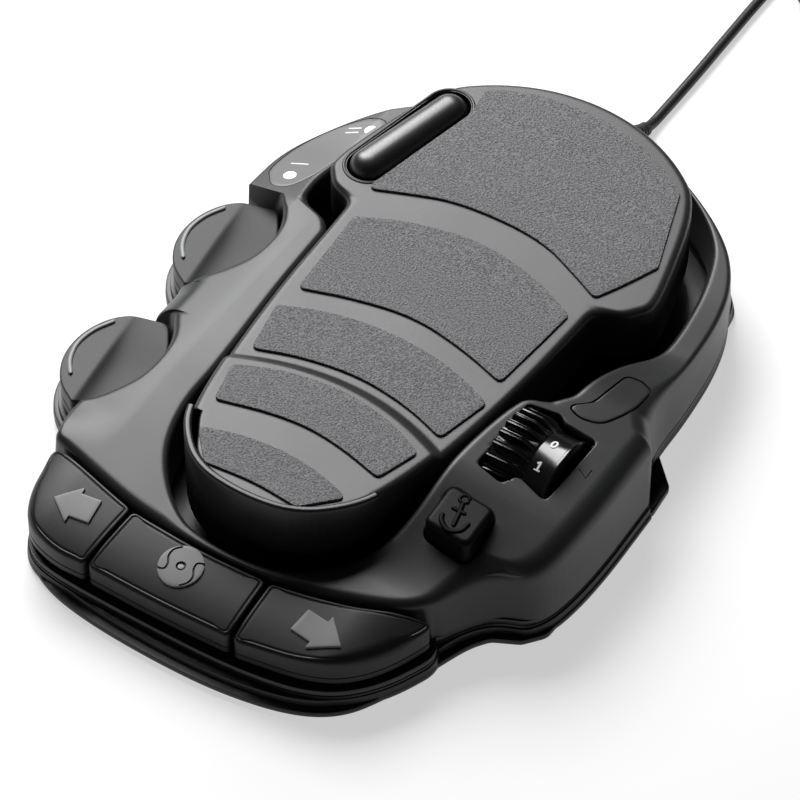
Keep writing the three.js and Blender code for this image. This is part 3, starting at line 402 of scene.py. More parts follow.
def rounded(corners, steps=9, soft=14):
    """Closed outline through [x, y, radius]: each corner is a parabola from one side to the
    next, which reaches half way along both sides where the radius is a soft one."""
    c = np.asarray(corners, float)
    p, r = c[:, :2], c[:, 2]
    a, b = np.roll(p, 1, 0) - p, np.roll(p, -1, 0) - p
    la, lb = np.linalg.norm(a, axis=1), np.linalg.norm(b, axis=1)
    a, b = a / la[:, None], b / lb[:, None]
    half = np.arccos(np.clip((a * b).sum(1), -1, 1)) / 2
    reach = r / np.maximum(np.tan(half), 1e-6)
    ra = np.where(r >= soft, 0.49 * la, np.minimum(reach, 0.49 * la))
    rb = np.where(r >= soft, 0.49 * lb, np.minimum(reach, 0.49 * lb))
    t = np.linspace(0, 1, steps)[None, :, None]
    one, two = p + a * ra[:, None], p + b * rb[:, None]
    curve = (1 - t) ** 2 * one[:, None] + 2 * t * (1 - t) * p[:, None] + t ** 2 * two[:, None]
    curve = curve.reshape(-1, 2)
    keep = np.linalg.norm(np.roll(curve, -1, 0) - curve, axis=1) > 1e-4
    curve = curve[keep]
    x, y = curve.T
    if (x * np.roll(y, -1) - y * np.roll(x, -1)).sum() < 0:
        curve = curve[::-1]
    return curve


def grown(curve, d):
    """The outline moved outwards by d along its own normals."""
    along = unit(np.roll(curve, -1, 0) - np.roll(curve, 1, 0))
    return curve + d * np.stack([along[:, 1], -along[:, 0]], 1)


def cast(curve, origin, way, far=True):
    """Distance along each ray to the closed outline: the farthest crossing, or the nearest."""
    a, b = curve, np.roll(curve, -1, 0)
    d = b - a
    ex, ey = way[:, :1], way[:, 1:]
    fx, fy = a[None, :, 0] - origin[:, :1], a[None, :, 1] - origin[:, 1:]
    bottom = ex * d[None, :, 1] - ey * d[None, :, 0]
    bottom = np.where(np.abs(bottom) < 1e-9, 1e-9, bottom)
    t = (fx * d[None, :, 1] - fy * d[None, :, 0]) / bottom
    w = (fx * ey - fy * ex) / bottom
    hit = (w >= -1e-7) & (w <= 1 + 1e-7) & (t > 1e-6)
    if far:
        return np.where(hit, t, -np.inf).max(1)
    return np.where(hit, t, np.inf).min(1)


def spokes(q, side):
    """Rays of the long ring: q in 0..1 fans round the toe end from +Y to the side, 1..2 runs
    down the spine square to it, and 2..3 fans round the heel end. side is +1 or -1."""
    a = np.where(q < 1, np.pi / 2 * (1 - q), np.where(q > 2, -np.pi / 2 * (q - 2), 0))
    along = TOE_END + (HEEL_END - TOE_END) * (q - 1)
    y = np.where(q < 1, TOE_END, np.where(q > 2, HEEL_END, along))
    return np.stack([np.zeros_like(q), y], 1), np.stack([side * np.cos(a), np.sin(a)], 1)


def lens_at(name, more=0.0):
    """Outline of a round button, grown by more."""
    cx, cy = DISCS[name]
    return grown(rounded([(cx + x, cy + y, r) for x, y, r in LENS]), more)


shell, front, well_line, tread_line = (rounded(c) for c in (SHELL, FRONT, WELL, TREADLE))


def deck_reach(origin, way):
    """How far the deck runs along each ray: to the shell's edge, or to a round button's bay."""
    reach = cast(shell, origin, way)
    for name in DISCS:
        reach = np.minimum(reach, cast(lens_at(name, 1.2), origin, way, far=False))
    return reach


# The rays are spread so that their points on the three outlines lie about equally far apart.
q = np.linspace(0, 3, 3001)
density = np.full(len(q), 0.02)
for side in (-1, 1):
    o, e = spokes(q, side)
    for t, weight in ((deck_reach(o, e), 0.8), (cast(well_line, o, e), 0.5),
                      (cast(tread_line, o, e), 0.3)):
        line = o + e * t[:, None]
        density[1:] += weight * np.minimum(np.linalg.norm(np.diff(line, axis=0), axis=1), 6)
total = np.concatenate([[0], np.cumsum(density[1:])])
q = np.interp(np.linspace(0, total[-1], 560), total, q)
right_o, right_e = spokes(q[::-1], 1)
left_o, left_e = spokes(q[1:-1], -1)
RAY_O, RAY_E = np.vstack([right_o, left_o]), np.vstack([right_e, left_e])
RAYS = len(RAY_O)
T_WELL = cast(well_line, RAY_O, RAY_E)
T_DECK = deck_reach(RAY_O, RAY_E)


def spread(shapes, more):
    """Farthest reach along each ray of several outlines together, each grown by more."""
    return np.max([cast(grown(s, more), RAY_O, RAY_E) for s in shapes], axis=0)


def facing(t):
    """How squarely each ray meets the line that its end points draw, 1 where it is square."""
    line = RAY_O + RAY_E * t[:, None]
    along = np.roll(line, -1, 0) - np.roll(line, 1, 0)
    along /= np.maximum(np.linalg.norm(along, axis=1), 1e-9)[:, None]
    return np.clip(np.abs(along[:, 1] * RAY_E[:, 0] - along[:, 0] * RAY_E[:, 1]), 0.3, 1)


def ease(a, b, t):
    """A smooth step from 0 at a to 1 at b."""
    s = np.clip((t - a) / (b - a), 0, 1)
    return s * s * (3 - 2 * s)


def drop(d, r):
    """How far a rounding of radius r has fallen at distance d from the edge: a quarter circle."""
    gone = np.clip(r - np.maximum(d, 0), 0, r)
    return r - np.sqrt(np.maximum(r * r - gone * gone, 0))


CROWN_Y = [-145, -120, -90, -50, 50, 100, 190]
CROWN_Z = [32.5, 35, 38, 41, 41, 37, 35]


def deck_height(x, y):
    """Deck top: a low crown along Y, which falls beside the discs along a hyperbola and on the
    shelf behind them along a straight slope, and the dial pod, a product of smooth steps."""
    crown = sum(np.interp(y + k, CROWN_Y, CROWN_Z) for k in (-9, -3, 3, 9)) / 4
    behind = ease(28, 56, y)
    beside = np.sqrt(np.maximum(0, -78 - x) ** 2 + 36) - 6
    crown = crown - 0.21 * beside * ease(-122, -96, y) * (1 - behind)
    crown = crown - 0.22 * np.maximum(0, -92 - x) * behind
    crown = crown - 0.045 * np.maximum(0, -98 - x) ** 2 * ease(-60, -40, y) * (1 - ease(-20, 2, y))
    pod = ease(38, 64, x) * ease(-118, -50, y) * (1 - ease(12, 66, y))
    return crown + pod * (14.5 - 0.13 * (x - 64))


def edge_radius(x, y):
    """Rounding of the deck's outer edge: soft round the pod and the front, crisp on the shelf."""
    soft = 2.0 + 7.0 * ease(60, 105, x) * ease(-135, -95, y) * (1 - ease(10, 60, y))
    soft = soft + 2.5 * (1 - ease(-128, -112, y))
    soft = soft + 1.8 * ease(-84, -90, x) * ease(-104, -94, y) * (1 - ease(44, 54, y))
    return soft - 0.9 * (1 - ease(-100, -80, x)) * ease(30, 60, y)


def ring_columns(t_in, t_out, middle=26):
    """Columns of the deck's top between two reaches along the rays, closer towards both edges,
    with the distance of each from the inner and from the outer edge."""
    near = np.array([0, 0.12, 0.35, 0.7, 1.15, 1.7, 2.35, 3.1, 4.0, 5.2, 6.8])
    room = t_out - t_in
    k = np.minimum(1, 0.42 * room / near[-1])[:, None]
    a = t_in[:, None] + near[None] * k
    b = t_out[:, None] - near[None, ::-1] * k
    w = np.linspace(0, 1, middle + 2)[1:-1]
    mid = a[:, -1:] + (b[:, :1] - a[:, -1:]) * w
    t = np.hstack([a, mid, b])
    xy = RAY_O[:, None] + RAY_E[:, None] * t[..., None]
    d_in = (t - t_in[:, None]) * facing(t_in)[:, None]
    d_out = (t_out[:, None] - t) * facing(t_out)[:, None]
    return xy, d_in, d_out


def flat_columns(*pairs):
    """One column for each (reach, height): a plain line round the ring."""
    points = []
    for t, z in pairs:
        xy = RAY_O + RAY_E * t[:, None]
        points.append(np.dstack([xy[:, 0], xy[:, 1], np.broadcast_to(z, (RAYS,))])[0])
    return np.stack(points, 1)


WELL_ROUND = 3.2
lobes = [lens_at(name, -1.2) for name in DISCS]
T_SHELL = cast(shell, RAY_O, RAY_E)
on_shell = RAY_O + RAY_E * T_SHELL[:, None]
PLAIN = ease(3.5, 8.5, on_shell[:, 1]) * (1 - ease(122, 134, on_shell[:, 1])) * (RAY_E[:, 0] > 0)


def skirt(on_case, on_keys, on_discs):
    """Reach of the case's foot: the shell grown by one amount, except along its plain side, and
    the ledges under the keys and under the discs by others, whichever lies farther out."""
    more = (spread([shell], on_case) - T_SHELL) * (1 - PLAIN) + 0.2 * PLAIN
    return np.max([T_SHELL + more, spread([front], on_keys), spread(lobes, on_discs)], axis=0)


T_LIP = skirt(1.6, 1.6, 1.6)
WALL_ONLY = np.clip(1 - (T_LIP - T_DECK - 2.6) / 1.2, 0, 1)
WALL_ONLY = np.convolve(np.concatenate([WALL_ONLY[-4:], WALL_ONLY, WALL_ONLY[:4]]),
                        np.full(9, 1 / 9), "valid")
T_LOW = T_DECK + (T_LIP - T_DECK) * WALL_ONLY
xy, d_in, d_out = ring_columns(T_WELL, T_DECK)
x, y = xy[..., 0], xy[..., 1]
room = (T_DECK - T_WELL)[:, None]
top = deck_height(x, y) - drop(d_in, np.minimum(WELL_ROUND, 0.4 * room)) \
    - drop(d_out, np.minimum(edge_radius(x, y), 0.4 * room))
top_grid = np.dstack([x, y, top])
edge_z = top[:, -1]
under = deck_height(x, y) - 3.4
inside = np.clip((T_DECK - T_WELL) * 0.25, 0.6, WALL)
deck = np.hstack([
    flat_columns((T_WELL, SEAM_Z), (T_WELL, (SEAM_Z + top[:, 0]) / 2)), top_grid,
    flat_columns(((T_DECK * 2 + T_LOW) / 3, (edge_z * 2 + LIP_Z) / 3),
                 ((T_DECK + 2 * T_LOW) / 3, (edge_z + 2 * LIP_Z) / 3), (T_LOW, LIP_Z),
                 (T_LIP - 0.3 * (1 - WALL_ONLY), LIP_Z - 0.01),
                 (T_LIP, LIP_Z - 0.4), (T_LIP, SEAM_Z + 0.3), (T_LIP - 0.3, SEAM_Z),
                 (T_DECK - inside, SEAM_Z), (T_DECK - inside, under[:, -1]),
                 (T_WELL + inside, under[:, 0]), (T_WELL + inside, SEAM_Z)),
])


def shifted(points):
    """Moves points from the source's axes to the object's place on the floor."""
    return np.asarray(points, float).reshape(-1, 3) + [SHIFT_X, SHIFT_Y, 0]


def skin(name, grid, angle=None, ring=False):
    """The closed surface over a grid of points; ring also joins its last column to its first."""
    return mesh_object(name, shifted(grid), grid_faces(*grid.shape[:2], True, ring), angle=angle)


housing = skin("deck_shell", deck, 38, True)
DIAL_Y, DIAL_Z, DIAL_X0, DIAL_XM, DIAL_X1 = -28.5, 35.0, 74.0, 88.0, 105.0
WHEEL_R, DRUM_R = 26.5, 22.5
WINDOW = [
    (DIAL_X0 - 1.5, DIAL_Y - WHEEL_R + 4.5, 3), (DIAL_XM - 1.5, DIAL_Y - WHEEL_R + 2, 3),
    (DIAL_XM + 2.5, DIAL_Y - DRUM_R + 6, 4), (DIAL_X1 + 2, DIAL_Y - DRUM_R + 1, 3),
    (DIAL_X1 + 3, DIAL_Y + DRUM_R - 2, 3), (DIAL_XM + 3.5, DIAL_Y + DRUM_R - 1.7, 3),
    (DIAL_XM - 1, DIAL_Y + WHEEL_R - 3, 3), (DIAL_X0 - 1, DIAL_Y + WHEEL_R - 6.5, 3),
]
COVER = [
    (87, 1.5, 3), (95.5, 9.5, 12), (97, 24, 8), (97.5, 35.5, 4), (104, 36.5, 4),
    (110.5, 34, 4), (111.5, 17, 14), (104, 1.5, 10), (95, -1, 8),
]
LABEL = [
    (-117.4, 68, 6), (-110, 58.5, 6), (-102, 61, 8), (-96.4, 71, 20), (-92.8, 88, 30),
    (-86, 112, 20), (-87.5, 125, 4), (-97, 122.6, 10), (-107.4, 111, 30), (-116, 92.5, 30),
    (-118.2, 76, 20),
]
ANCHOR = [(69, -65.5, 5), (70, -90.5, 5), (95, -93, 5), (94, -68, 5)]


def run_along(path):
    """Length along a path up to each of its points."""
    return np.concatenate([[0], np.cumsum(np.linalg.norm(np.diff(path, axis=0), axis=1))])


def points_at(path, lengths):
    """Points of a path at given lengths along it."""
    run = run_along(path)
    return np.stack([np.interp(lengths, run, axis) for axis in path.T], 1)


def even(curve, step):
    """The closed outline resampled at equal steps of length."""
    closed = np.vstack([curve, curve[:1]])
    whole = run_along(closed)[-1]
    count = max(12, int(whole / step))
    return points_at(closed, np.linspace(0, whole, count, endpoint=False))


def slab(curve, centre, bottom, top, edge=0.4, rings=14, depths=(), wall=(), relief=None,
         hollow=None):
    """A plate over a closed outline, drawn as rays from one centre. The top follows top(x, y),
    falls by a quarter circle of radius edge at the rim, and has relief(d, x, y) added at distance
    d from it. wall lists (growth, height) lines of the side from the bottom upwards, and hollow
    is the height of the roof inside a plate that is open below."""
    centre = np.asarray(centre, float)
    ray = curve - centre
    length = np.linalg.norm(ray, axis=1)
    along = unit(np.roll(curve, -1, 0) - np.roll(curve, 1, 0))
    square = np.clip(np.abs(along[:, 1] * ray[:, 0] - along[:, 0] * ray[:, 1]) / length, 0.3, 1)
    reach = (length * square)[:, None]
    radius = edge if callable(edge) else level(edge)
    rim_at = np.array([0, 0.04, 0.14, 0.3, 0.55, 1.0]) * (1 if callable(edge) else edge)
    rim_at = np.concatenate([rim_at, depths])
    steps = rim_at / np.maximum(reach, rim_at[-1] / 0.8)
    w = np.hstack([1 - steps, (1 - steps[:, -1:]) * np.linspace(1, 0, rings)[None, 1:]])
    xy = centre + ray[:, None] * w[..., None]
    x, y = xy[..., 0], xy[..., 1]
    d = (1 - w) * reach
    z = top(x, y) - drop(d, radius(x, y)) + (relief(d, x, y) if relief else 0)
    foot = wall[0][0] if wall else 0
    roof = hollow or bottom
    low = [(0.0, roof), (0.86, roof), (0.88, bottom), (1 + foot / reach[:, 0], bottom)]
    low += [(1 + out / reach[:, 0], h if callable(h) else level(h)) for out, h in wall]
    columns = []
    for k, height in low:
        at = centre + ray * np.broadcast_to(k, len(curve))[:, None]
        columns.append(np.column_stack([at, height(at[:, 0], at[:, 1])]))
    return np.hstack([np.stack(columns, 1), np.dstack([x, y, z])])


def slab_object(name, curve, centre, bottom, top, angle=40, **more):
    """The piece that slab() draws."""
    return skin(name, slab(curve, centre, bottom, top, **more), angle)


def level(z):
    """A height function that is z everywhere."""
    return lambda x, y: np.full_like(x, z)


def above(surface):
    """Height functions over a surface: surface(x, y) + k, for any k."""
    return lambda k: lambda x, y: surface(x, y) + k


on_deck = above(deck_height)


def strip(name, grid, angle=None):
    """The surface of a bar whose cross sections are the grid's rows, with both ends capped."""
    rows, n = grid.shape[:2]
    caps = [list(range(n)), list(range((rows - 1) * n, rows * n))]
    return mesh_object(name, shifted(grid), [*grid_faces(rows, n, False, True), *caps],
                       angle=angle)


def bead(name, path, width, ground, lift, sink=0.5, step=0.4):
    """A low ridge along a path: across it the height is lift (1 - u^4) over the ground, and its
    width closes to nothing in a half circle at both ends."""
    p = np.asarray(path, float)
    whole = run_along(p)[-1]
    s = np.linspace(0, whole, max(8, int(whole / step)))
    ends = width / 2 * (1 - np.cos(np.linspace(0, np.pi / 2, 6)))
    s = np.unique(np.round(np.concatenate([s[(s > width / 2) & (s < whole - width / 2)],
                                           ends, whole - ends]), 6))
    line = points_at(p, s)
    along = unit(np.gradient(line, axis=0))
    near = np.clip(1 - np.minimum(s, whole - s) / (width / 2), 0, 1)
    half = np.maximum(width / 2 * np.sqrt(np.maximum(1 - near ** 2, 0)), 0.03)
    u = np.array([-1, -1, -0.94, -0.8, -0.5, 0, 0.5, 0.8, 0.94, 1, 1])
    rise = lift * (1 - u ** 4)
    rise[[0, -1]] = -sink
    side = np.stack([-along[:, 1], along[:, 0]], 1)
    xy = line[:, None] + side[:, None] * (half[:, None] * u)[..., None]
    z = ground(xy[..., 0], xy[..., 1]) + rise
    return strip(name, np.dstack([xy, z]))


def smoothed(points, per=8):
    """A flat path drawn through its points by Catmull-Rom."""
    p = np.asarray(points, float)
    return catmull(np.column_stack([p, np.zeros(len(p))]), per)[:, :2]


def cut(piece, tools, angle=38):
    """Cuts the tools' shapes out of a piece; the tools are removed."""
    for tool in tools:
        step = piece.modifiers.new("cut", "BOOLEAN")
        step.operation = "DIFFERENCE"
        step.object = tool
        step.solver = "MANIFOLD"
    graph = bpy.context.evaluated_depsgraph_get()
    data = bpy.data.meshes.new_from_object(piece.evaluated_get(graph))
    piece.modifiers.clear()
    piece.data = data
    for tool in tools:
        bpy.data.objects.remove(tool)
    data.polygons.foreach_set("use_smooth", np.full(len(data.polygons), True))
    data.set_sharp_from_angle(angle=math.radians(angle))
    return piece


def lathe(profile, sides, at, turn="x"):
    """A lathe about +X or +Y through a point: each (length, radius) sweeps a circle."""
    grid = turned(profile, sides)
    if turn == "y":
        grid = grid[..., [1, 0, 2]] * [-1, 1, 1]
    return grid + np.asarray(at, float)


# Side lines of a cutting tool that leaves a rounded 0.6 mm edge on the deck.
ROUND_EDGE = [(0, -0.75), (0.05, -0.5), (0.2, -0.22), (0.45, -0.05), (1.0, 0.12)]
RIM = [(out, on_deck(z)) for out, z in ROUND_EDGE] + [(1.0, level(88))]
REAR_Y, GLAND_Z = 183.75, 14.0
LEDS = [(-106.5, 69.3), (-91.8, 115)]
gland_hole = lathe([(0, 0), (0, 5.8), (30, 5.8), (30, 0)], 48, (1, REAR_Y - 12, GLAND_Z), "y")
ROOMS = [(DIAL_X0 - 1.5, DIAL_XM + 1, WHEEL_R + 1), (DIAL_XM, DIAL_X1 + 1, DRUM_R + 1)]
dial_room = [lathe([(x0, 0), (x0, r), (x1, r), (x1, 0)], 96, (0, DIAL_Y, DIAL_Z))
             for x0, x1, r in ROOMS]
V_MARK = [(109.5, -25.6), (114.7, -28.7), (114.4, -22.8)]
ANCHOR_AT, COVER_AT, LABEL_AT = (82, -79), (103, 19), (-104, 88)
OPENINGS = [(WINDOW, 0, (88, -28), level(28), RIM), (ANCHOR, 0.5, ANCHOR_AT, level(28), RIM),
            (COVER, 0.8, COVER_AT, on_deck(-2.0), ()), (LABEL, 0.3, LABEL_AT, on_deck(-1.0), ())]
tools = [slab_object("tool", even(grown(rounded(line), more), 0.8), middle, low, level(90),
                     wall=wall) for line, more, middle, low, wall in OPENINGS]
tools += [skin("tool", grid) for grid in [gland_hole, *dial_room]]
tools += [bead("tool", smoothed(V_MARK[k:k + 2], 2), 0.7, on_deck(0), 0.3, 0.4) for k in (0, 1)]
cut(housing, tools)
charcoal = grained("charcoal_moulding", (0.018, 0.0184, 0.0195), (0.024, 0.0245, 0.0255), 0.37,
                   1500)
wear(housing, charcoal, "base", "shell_plastic", "deck_housing")

# Tray: the lower half of the case, black, with a flared foot, a ledge under the keys and discs,
# two ears for deck screws, the posts inside, and four rubber feet pressed into its underside.
FOOT_H, LEDGE_Z, TRAY_T = 1.2, 7.5, 3.0
SOLE = [
    (-102, -122, 6), (-98.5, -146, 30), (-88.5, -166, 18), (-70, -177, 30), (-44, -182, 60),
    (-10, -184, 90), (25, -183.5, 60), (58, -177.5, 30), (78, -166, 20), (89, -146, 30),
    (97, -122, 20), (103, -104, 14), (109, -95.5, 8), (121, -89.5, 6), (128.5, -80, 8),
    (129, -60, 0), (0, -60, 0), (-60, -60, 0),
]
sole = rounded(SOLE)
T_RIM = skirt(1.7, 1.7, 1.7)
T_FLARE = np.maximum(skirt(2.7, 2.4, 4), spread([sole], -4.2))
T_FOOT = np.maximum(skirt(3.8, 2.8, 4), spread([sole], 0))
T_PAN = spread([shell, front, *lobes], -WALL)
zero = np.zeros(RAYS)
floor_z = FOOT_H + TRAY_T
STEP = 0.25 + 0.5 * (1 - WALL_ONLY)
tray_grid = flat_columns(
    (zero, FOOT_H), (T_FOOT * 0.4, FOOT_H), (T_FOOT - 8, FOOT_H), (T_FOOT - 0.8, FOOT_H),
    (T_FOOT - 0.2, FOOT_H + 0.3), (T_FOOT, FOOT_H + 0.9), (T_FOOT - 0.1, 3.6),
    (T_FOOT - 0.4, 4.1), (T_FLARE + 0.2, 4.4), (T_FLARE, 4.8), (T_FLARE, LEDGE_Z - 0.7),
    (T_FLARE - 0.2, LEDGE_Z - 0.2), (T_FLARE - STEP, LEDGE_Z),
    (T_RIM + 0.3 * (T_FLARE - T_RIM), LEDGE_Z + 0.1), (T_RIM + 0.02, LEDGE_Z + 0.2), (T_RIM, 8.7),
    (T_RIM - 0.4, 9.0), (T_PAN + 0.3, 9.0), (T_PAN, 8.7), (T_PAN, floor_z + 1),
    (T_PAN - 1, floor_z), (T_PAN * 0.4, floor_z), (zero, floor_z))
tray = skin("tray_shell", tray_grid, 40)
SIDE_EAR = [(104, 40, 0), (114, 38, 4), (128.8, 23, 4), (130.5, 4, 4), (112, 0, 0)]
EAR_HOLES = [(122.3, 19.2), (-64.4, 168)]
FEET, FOOT_R = [(-80, -146), (76, -140), (98, 80), (-100, 96)], 9
SCREWS = [(-84, -108), (80, -105), (104, 50), (-110, 84)]
PIVOT_Y, PIVOT_Z, PIN_R = 15.0, 24.0, 4.0


def disc_line(x, y, r, sides=48):
    """Outline of a circle."""
    a = np.linspace(0, 2 * np.pi, sides, endpoint=False)
    return np.stack([x + r * np.cos(a), y + r * np.sin(a)], 1)


def capsule_line(x0, y0, x1, y1, r, half=24):
    """Outline of a round-ended bar: two half circles joined by straight sides."""
    turn = math.atan2(y1 - y0, x1 - x0)
    a = np.linspace(-np.pi / 2, np.pi / 2, half) + turn
    one = np.stack([x1 + r * np.cos(a), y1 + r * np.sin(a)], 1)
    two = np.stack([x0 - r * np.cos(a), y0 - r * np.sin(a)], 1)
    return np.vstack([one, two])


def puck(name, x, y, r, z0, z1, edge, sides=48):
    """A round block with rounded edges, at its place."""
    a = np.linspace(0, np.pi / 2, 5)
    out, up = edge * np.sin(a), edge * np.cos(a)
    radius = np.concatenate([[0], r - edge + out, r - edge + up, [0]])
    height = np.concatenate([[z0], z0 + edge - up, z1 - edge + out, [z1]])
    t = np.linspace(0, 2 * np.pi, sides, endpoint=False)[:, None]
    grid = np.dstack([x + radius * np.cos(t), y + radius * np.sin(t),
                      np.broadcast_to(height, (sides, len(height)))])
    return skin(name, grid, 50)


def block(name, x0, x1, y0, y1, z0, z1):
    """A box with softened upright corners and top rim."""
    line = even(rounded([(x0, y0, 1), (x1, y0, 1), (x1, y1, 1), (x0, y1, 1)]), 1.0)
    return slab_object(name, line, ((x0 + x1) / 2, (y0 + y1) / 2), level(z0), level(z1), edge=0.5,
                       rings=4)


def bored(piece, y, z, r):
    """Cuts a cross hole along X through a piece, with 0.06 mm of play round the pin."""
    hole = [(-60, 0), (-60, r + 0.06), (120, r + 0.06), (120, 0)]
    return cut(piece, [skin("tool", lathe(hole, 32, (0, y, z)))])


cut(tray, [puck("tool", x, y, FOOT_R + 0.3, -2, FOOT_H + 1.5, 0.2) for x, y in FEET]
    + [puck("tool", x, y, 4.2, -2, FOOT_H + 1.8, 0.2) for x, y in SCREWS])
tray_black = grained("tray_moulding", (0.008, 0.008, 0.0085), (0.012, 0.012, 0.0125), 0.36, 1300)
wear(tray, tray_black, "base", "tray_plastic", "base_tray")
ear_lines = [even(rounded(SIDE_EAR), 0.8), capsule_line(-56, 155, -64.4, 168, 8.5)]
for k, ((x, y), line) in enumerate(zip(EAR_HOLES, ear_lines)):
    middle = (x - 4 * math.copysign(1, x), y - 3)
    ear = slab_object(f"screw_ear_{k + 1}", line, middle, level(FOOT_H), level(floor_z), edge=0.7)
    # The hole stops 0.7 mm above the ear's foot: the black skin left under it is painted shade,
    # standing in for the shadow seen through a real through hole.
    cut(ear, [puck("tool", x, y, 2.6, FOOT_H + 0.7, 20, 0.2)])
    wear(ear, tray_black, "base", "tray_plastic")
POST_X, SHAFT_R, SPRINGS_Y = 46.0, 3.0, (PIVOT_Y - 62, PIVOT_Y + 62)
POSTS = [("pivot_post_left", -POST_X, 7, PIVOT_Y, PIVOT_Z, PIN_R, 9, 7),
         ("pivot_post_right", POST_X - 7, 7, PIVOT_Y, PIVOT_Z, PIN_R, 9, 7),
         ("dial_post", DIAL_X1 + 1.2, 5, DIAL_Y, DIAL_Z, SHAFT_R, 7, 6)]
posts = []
for name, x0, thick, y, z, r, half, head in POSTS:
    post = block(name, x0, x0 + thick, y - half, y + half, floor_z - 0.5, z + head)
    posts.append(bored(post, y, z, r))
for k, y in enumerate(SPRINGS_Y):
    posts.append(puck(f"spring_seat_{k + 1}", 0, y, 4.5, floor_z - 0.5, 11, 0.4))
BOARD_STANDS = [(-70, -157), (-40, -155), (58, -155), (-98, -76), (-98, 40), (-91, 106)]
for k, (x, y) in enumerate(BOARD_STANDS):
    posts.append(puck(f"board_stand_{k + 1}", x, y, 3, floor_z - 0.5, 5.7, 0.3, 24))
posts.append(puck("anchor_stand", 82.5, -79, 4, floor_z - 0.5, 30, 0.4, 32))
for post in posts:
    wear(post, tray_black, "base", "tray_plastic")
foot_rubber = grained("foot_rubber", (0.015, 0.015, 0.015), (0.025, 0.025, 0.025), 0.8, 700,
                      0.08, 0.4)
for k, (x, y) in enumerate(FEET):
    foot = puck(f"foot_pad_{k + 1}", x, y, FOOT_R, 0, FOOT_H + 1.2, 0.4)
    wear(foot, foot_rubber, "base", "foot_rubber", f"rubber_foot_{k + 1}")

# Steel: the pivot pin, two return springs, four case screws and the dial's shaft are turned or
# wound parts that the solids already draw; the magnet is ground. They get a drawn-metal finish.
steel = grained("drawn_steel", (0.46, 0.47, 0.49), (0.6, 0.61, 0.63), 0.3, 900, 0.01, 0.2, 60,
                metal=1.0)
finish(steel, "pivot_pin", "dial_shaft", "return_spring_heel", "return_spring_toe", "sensor_magnet",
       *[f"case_screw_{k}" for k in (1, 2, 3, 4)])

# Boards and switches: glass-fibre boards under a dark green lacquer, which lie on the stands, and
# plain moulded switches, one under each button. The two sensors are small boards too.
lacquer = grained("board_lacquer", (0.004, 0.02, 0.012), (0.008, 0.034, 0.02), 0.35, 300, 0.02,
                  0.2, 90)
finish(lacquer, "front_board", "side_board", "angle_sensor", "dial_sensor")
switch_black = grained("switch_moulding", (0.012, 0.012, 0.012), (0.02, 0.02, 0.02), 0.5,
                       depth=0.05, strength=0.35)
finish(switch_black, *[f"{name}_switch" for name in ("bar", "left", "centre", "right", "rear_disc",
                                                     "front_disc", "anchor")])

# Gland: the cord's rubber strain relief. A collar is trapped in the rear wall, and a ribbed sleeve
# tapers outwards along the cord, so that it bends without a kink.
GLAND_IN, RIB_PITCH = 9.0, 3.2
sleeve_way = np.vstack([[(1, REAR_Y - k, GLAND_Z) for k in (GLAND_IN, 4, 0)],
                        catmull(FREE_ROUTE, 40)])
s = np.linspace(0, GLAND_IN + 34, 220)
centre = points_at(sleeve_way, s)
side, up = level_frame(centre)
out_s = np.maximum(s - GLAND_IN - 4, 0)
taper = 5.3 - 1.75 * np.clip(out_s / 30, 0, 1)
grooves = 0.75 * ease(0.25, 0.45, np.abs((out_s / RIB_PITCH) % 1 - 0.5)) * ease(1, 3, out_s) \
    * (1 - ease(25, 28, out_s))
outer = np.where(s < GLAND_IN + 3.4, 5.5, taper - grooves * 0.9)
outer[[0, -1]] -= 0.3
rings_out = tube_rings(centre, side, up, outer, 40)
rings_in = tube_rings(centre, side, up, CORD_R + 0.12, 40)[::-1]
sleeve_grid = np.concatenate([rings_out, rings_in]).transpose(1, 0, 2)
sleeve = skin("cord_relief", sleeve_grid, 50, True)
gland_rubber = grained("gland_rubber", (0.012, 0.012, 0.012), (0.02, 0.02, 0.02), 0.6, 800, 0.05,
                       0.3)
wear(sleeve, gland_rubber, "base", "gland_rubber", "cord_gland")

# Treadle: one hollow charcoal moulding under the shoe, hung on the pin by two bosses. Its tread is
# slightly dished, the heel part stands a step higher, and a lined pocket at the left of the toe
# takes the satin bar button.
SKIRT_Z = 22.0
CUP_ENDS = -93.0
PLATE_Y = [-140, -60, -20, 40, 75, 185]
PLATE_Z = [51.5, 51.5, 50.5, 50, 51.2, 56]
BAR = (-70.5, 82, -59, 133)


def tread_height(x, y):
    """Tread: dished plate, plus the heel tier, whose toe edge is a parabola across X."""
    plate = sum(np.interp(y + k, PLATE_Y, PLATE_Z) for k in (-12, -4, 4, 12)) / 4
    heel = 61 + (y + 140) * (53.4 - 61) / 110
    step = y + 39.5 + 0.0045 * x * x
    return plate + (heel - plate) * (1 - ease(-5.5, 1.5, step))


T_TREAD = cast(tread_line, RAY_O, RAY_E)
end = RAY_O + RAY_E * T_TREAD[:, None]
in_cup = 1 - ease(CUP_ENDS - 0.6, CUP_ENDS + 0.2, end[:, 1])
crescent = 2.6 * ease(-118, -104, end[:, 1]) * (end[:, 0] < 0)
T_EDGE = T_TREAD - in_cup * (1.75 + crescent)
near = np.array([0, 0.15, 0.4, 0.8, 1.3, 1.9, 2.6, 3.4, 4.4, 6.0])
w = np.linspace(0, 1, 30)[1:]
t = np.hstack([T_EDGE[:, None] - near, (T_EDGE[:, None] - 6.0) * (1 - w)])
xy = RAY_O[:, None] + RAY_E[:, None] * t[..., None]
x, y = xy[..., 0], xy[..., 1]
d = (T_EDGE[:, None] - t) * facing(T_TREAD)[:, None]
ROLL = 3.4 - 2.2 * in_cup[:, None]
tread_top = np.dstack([x, y, tread_height(x, y) - drop(d, ROLL)])
edge_z = tread_top[:, 0, 2]
tread_inner = tread_height(np.zeros(RAYS), RAY_O[:, 1]) - 4
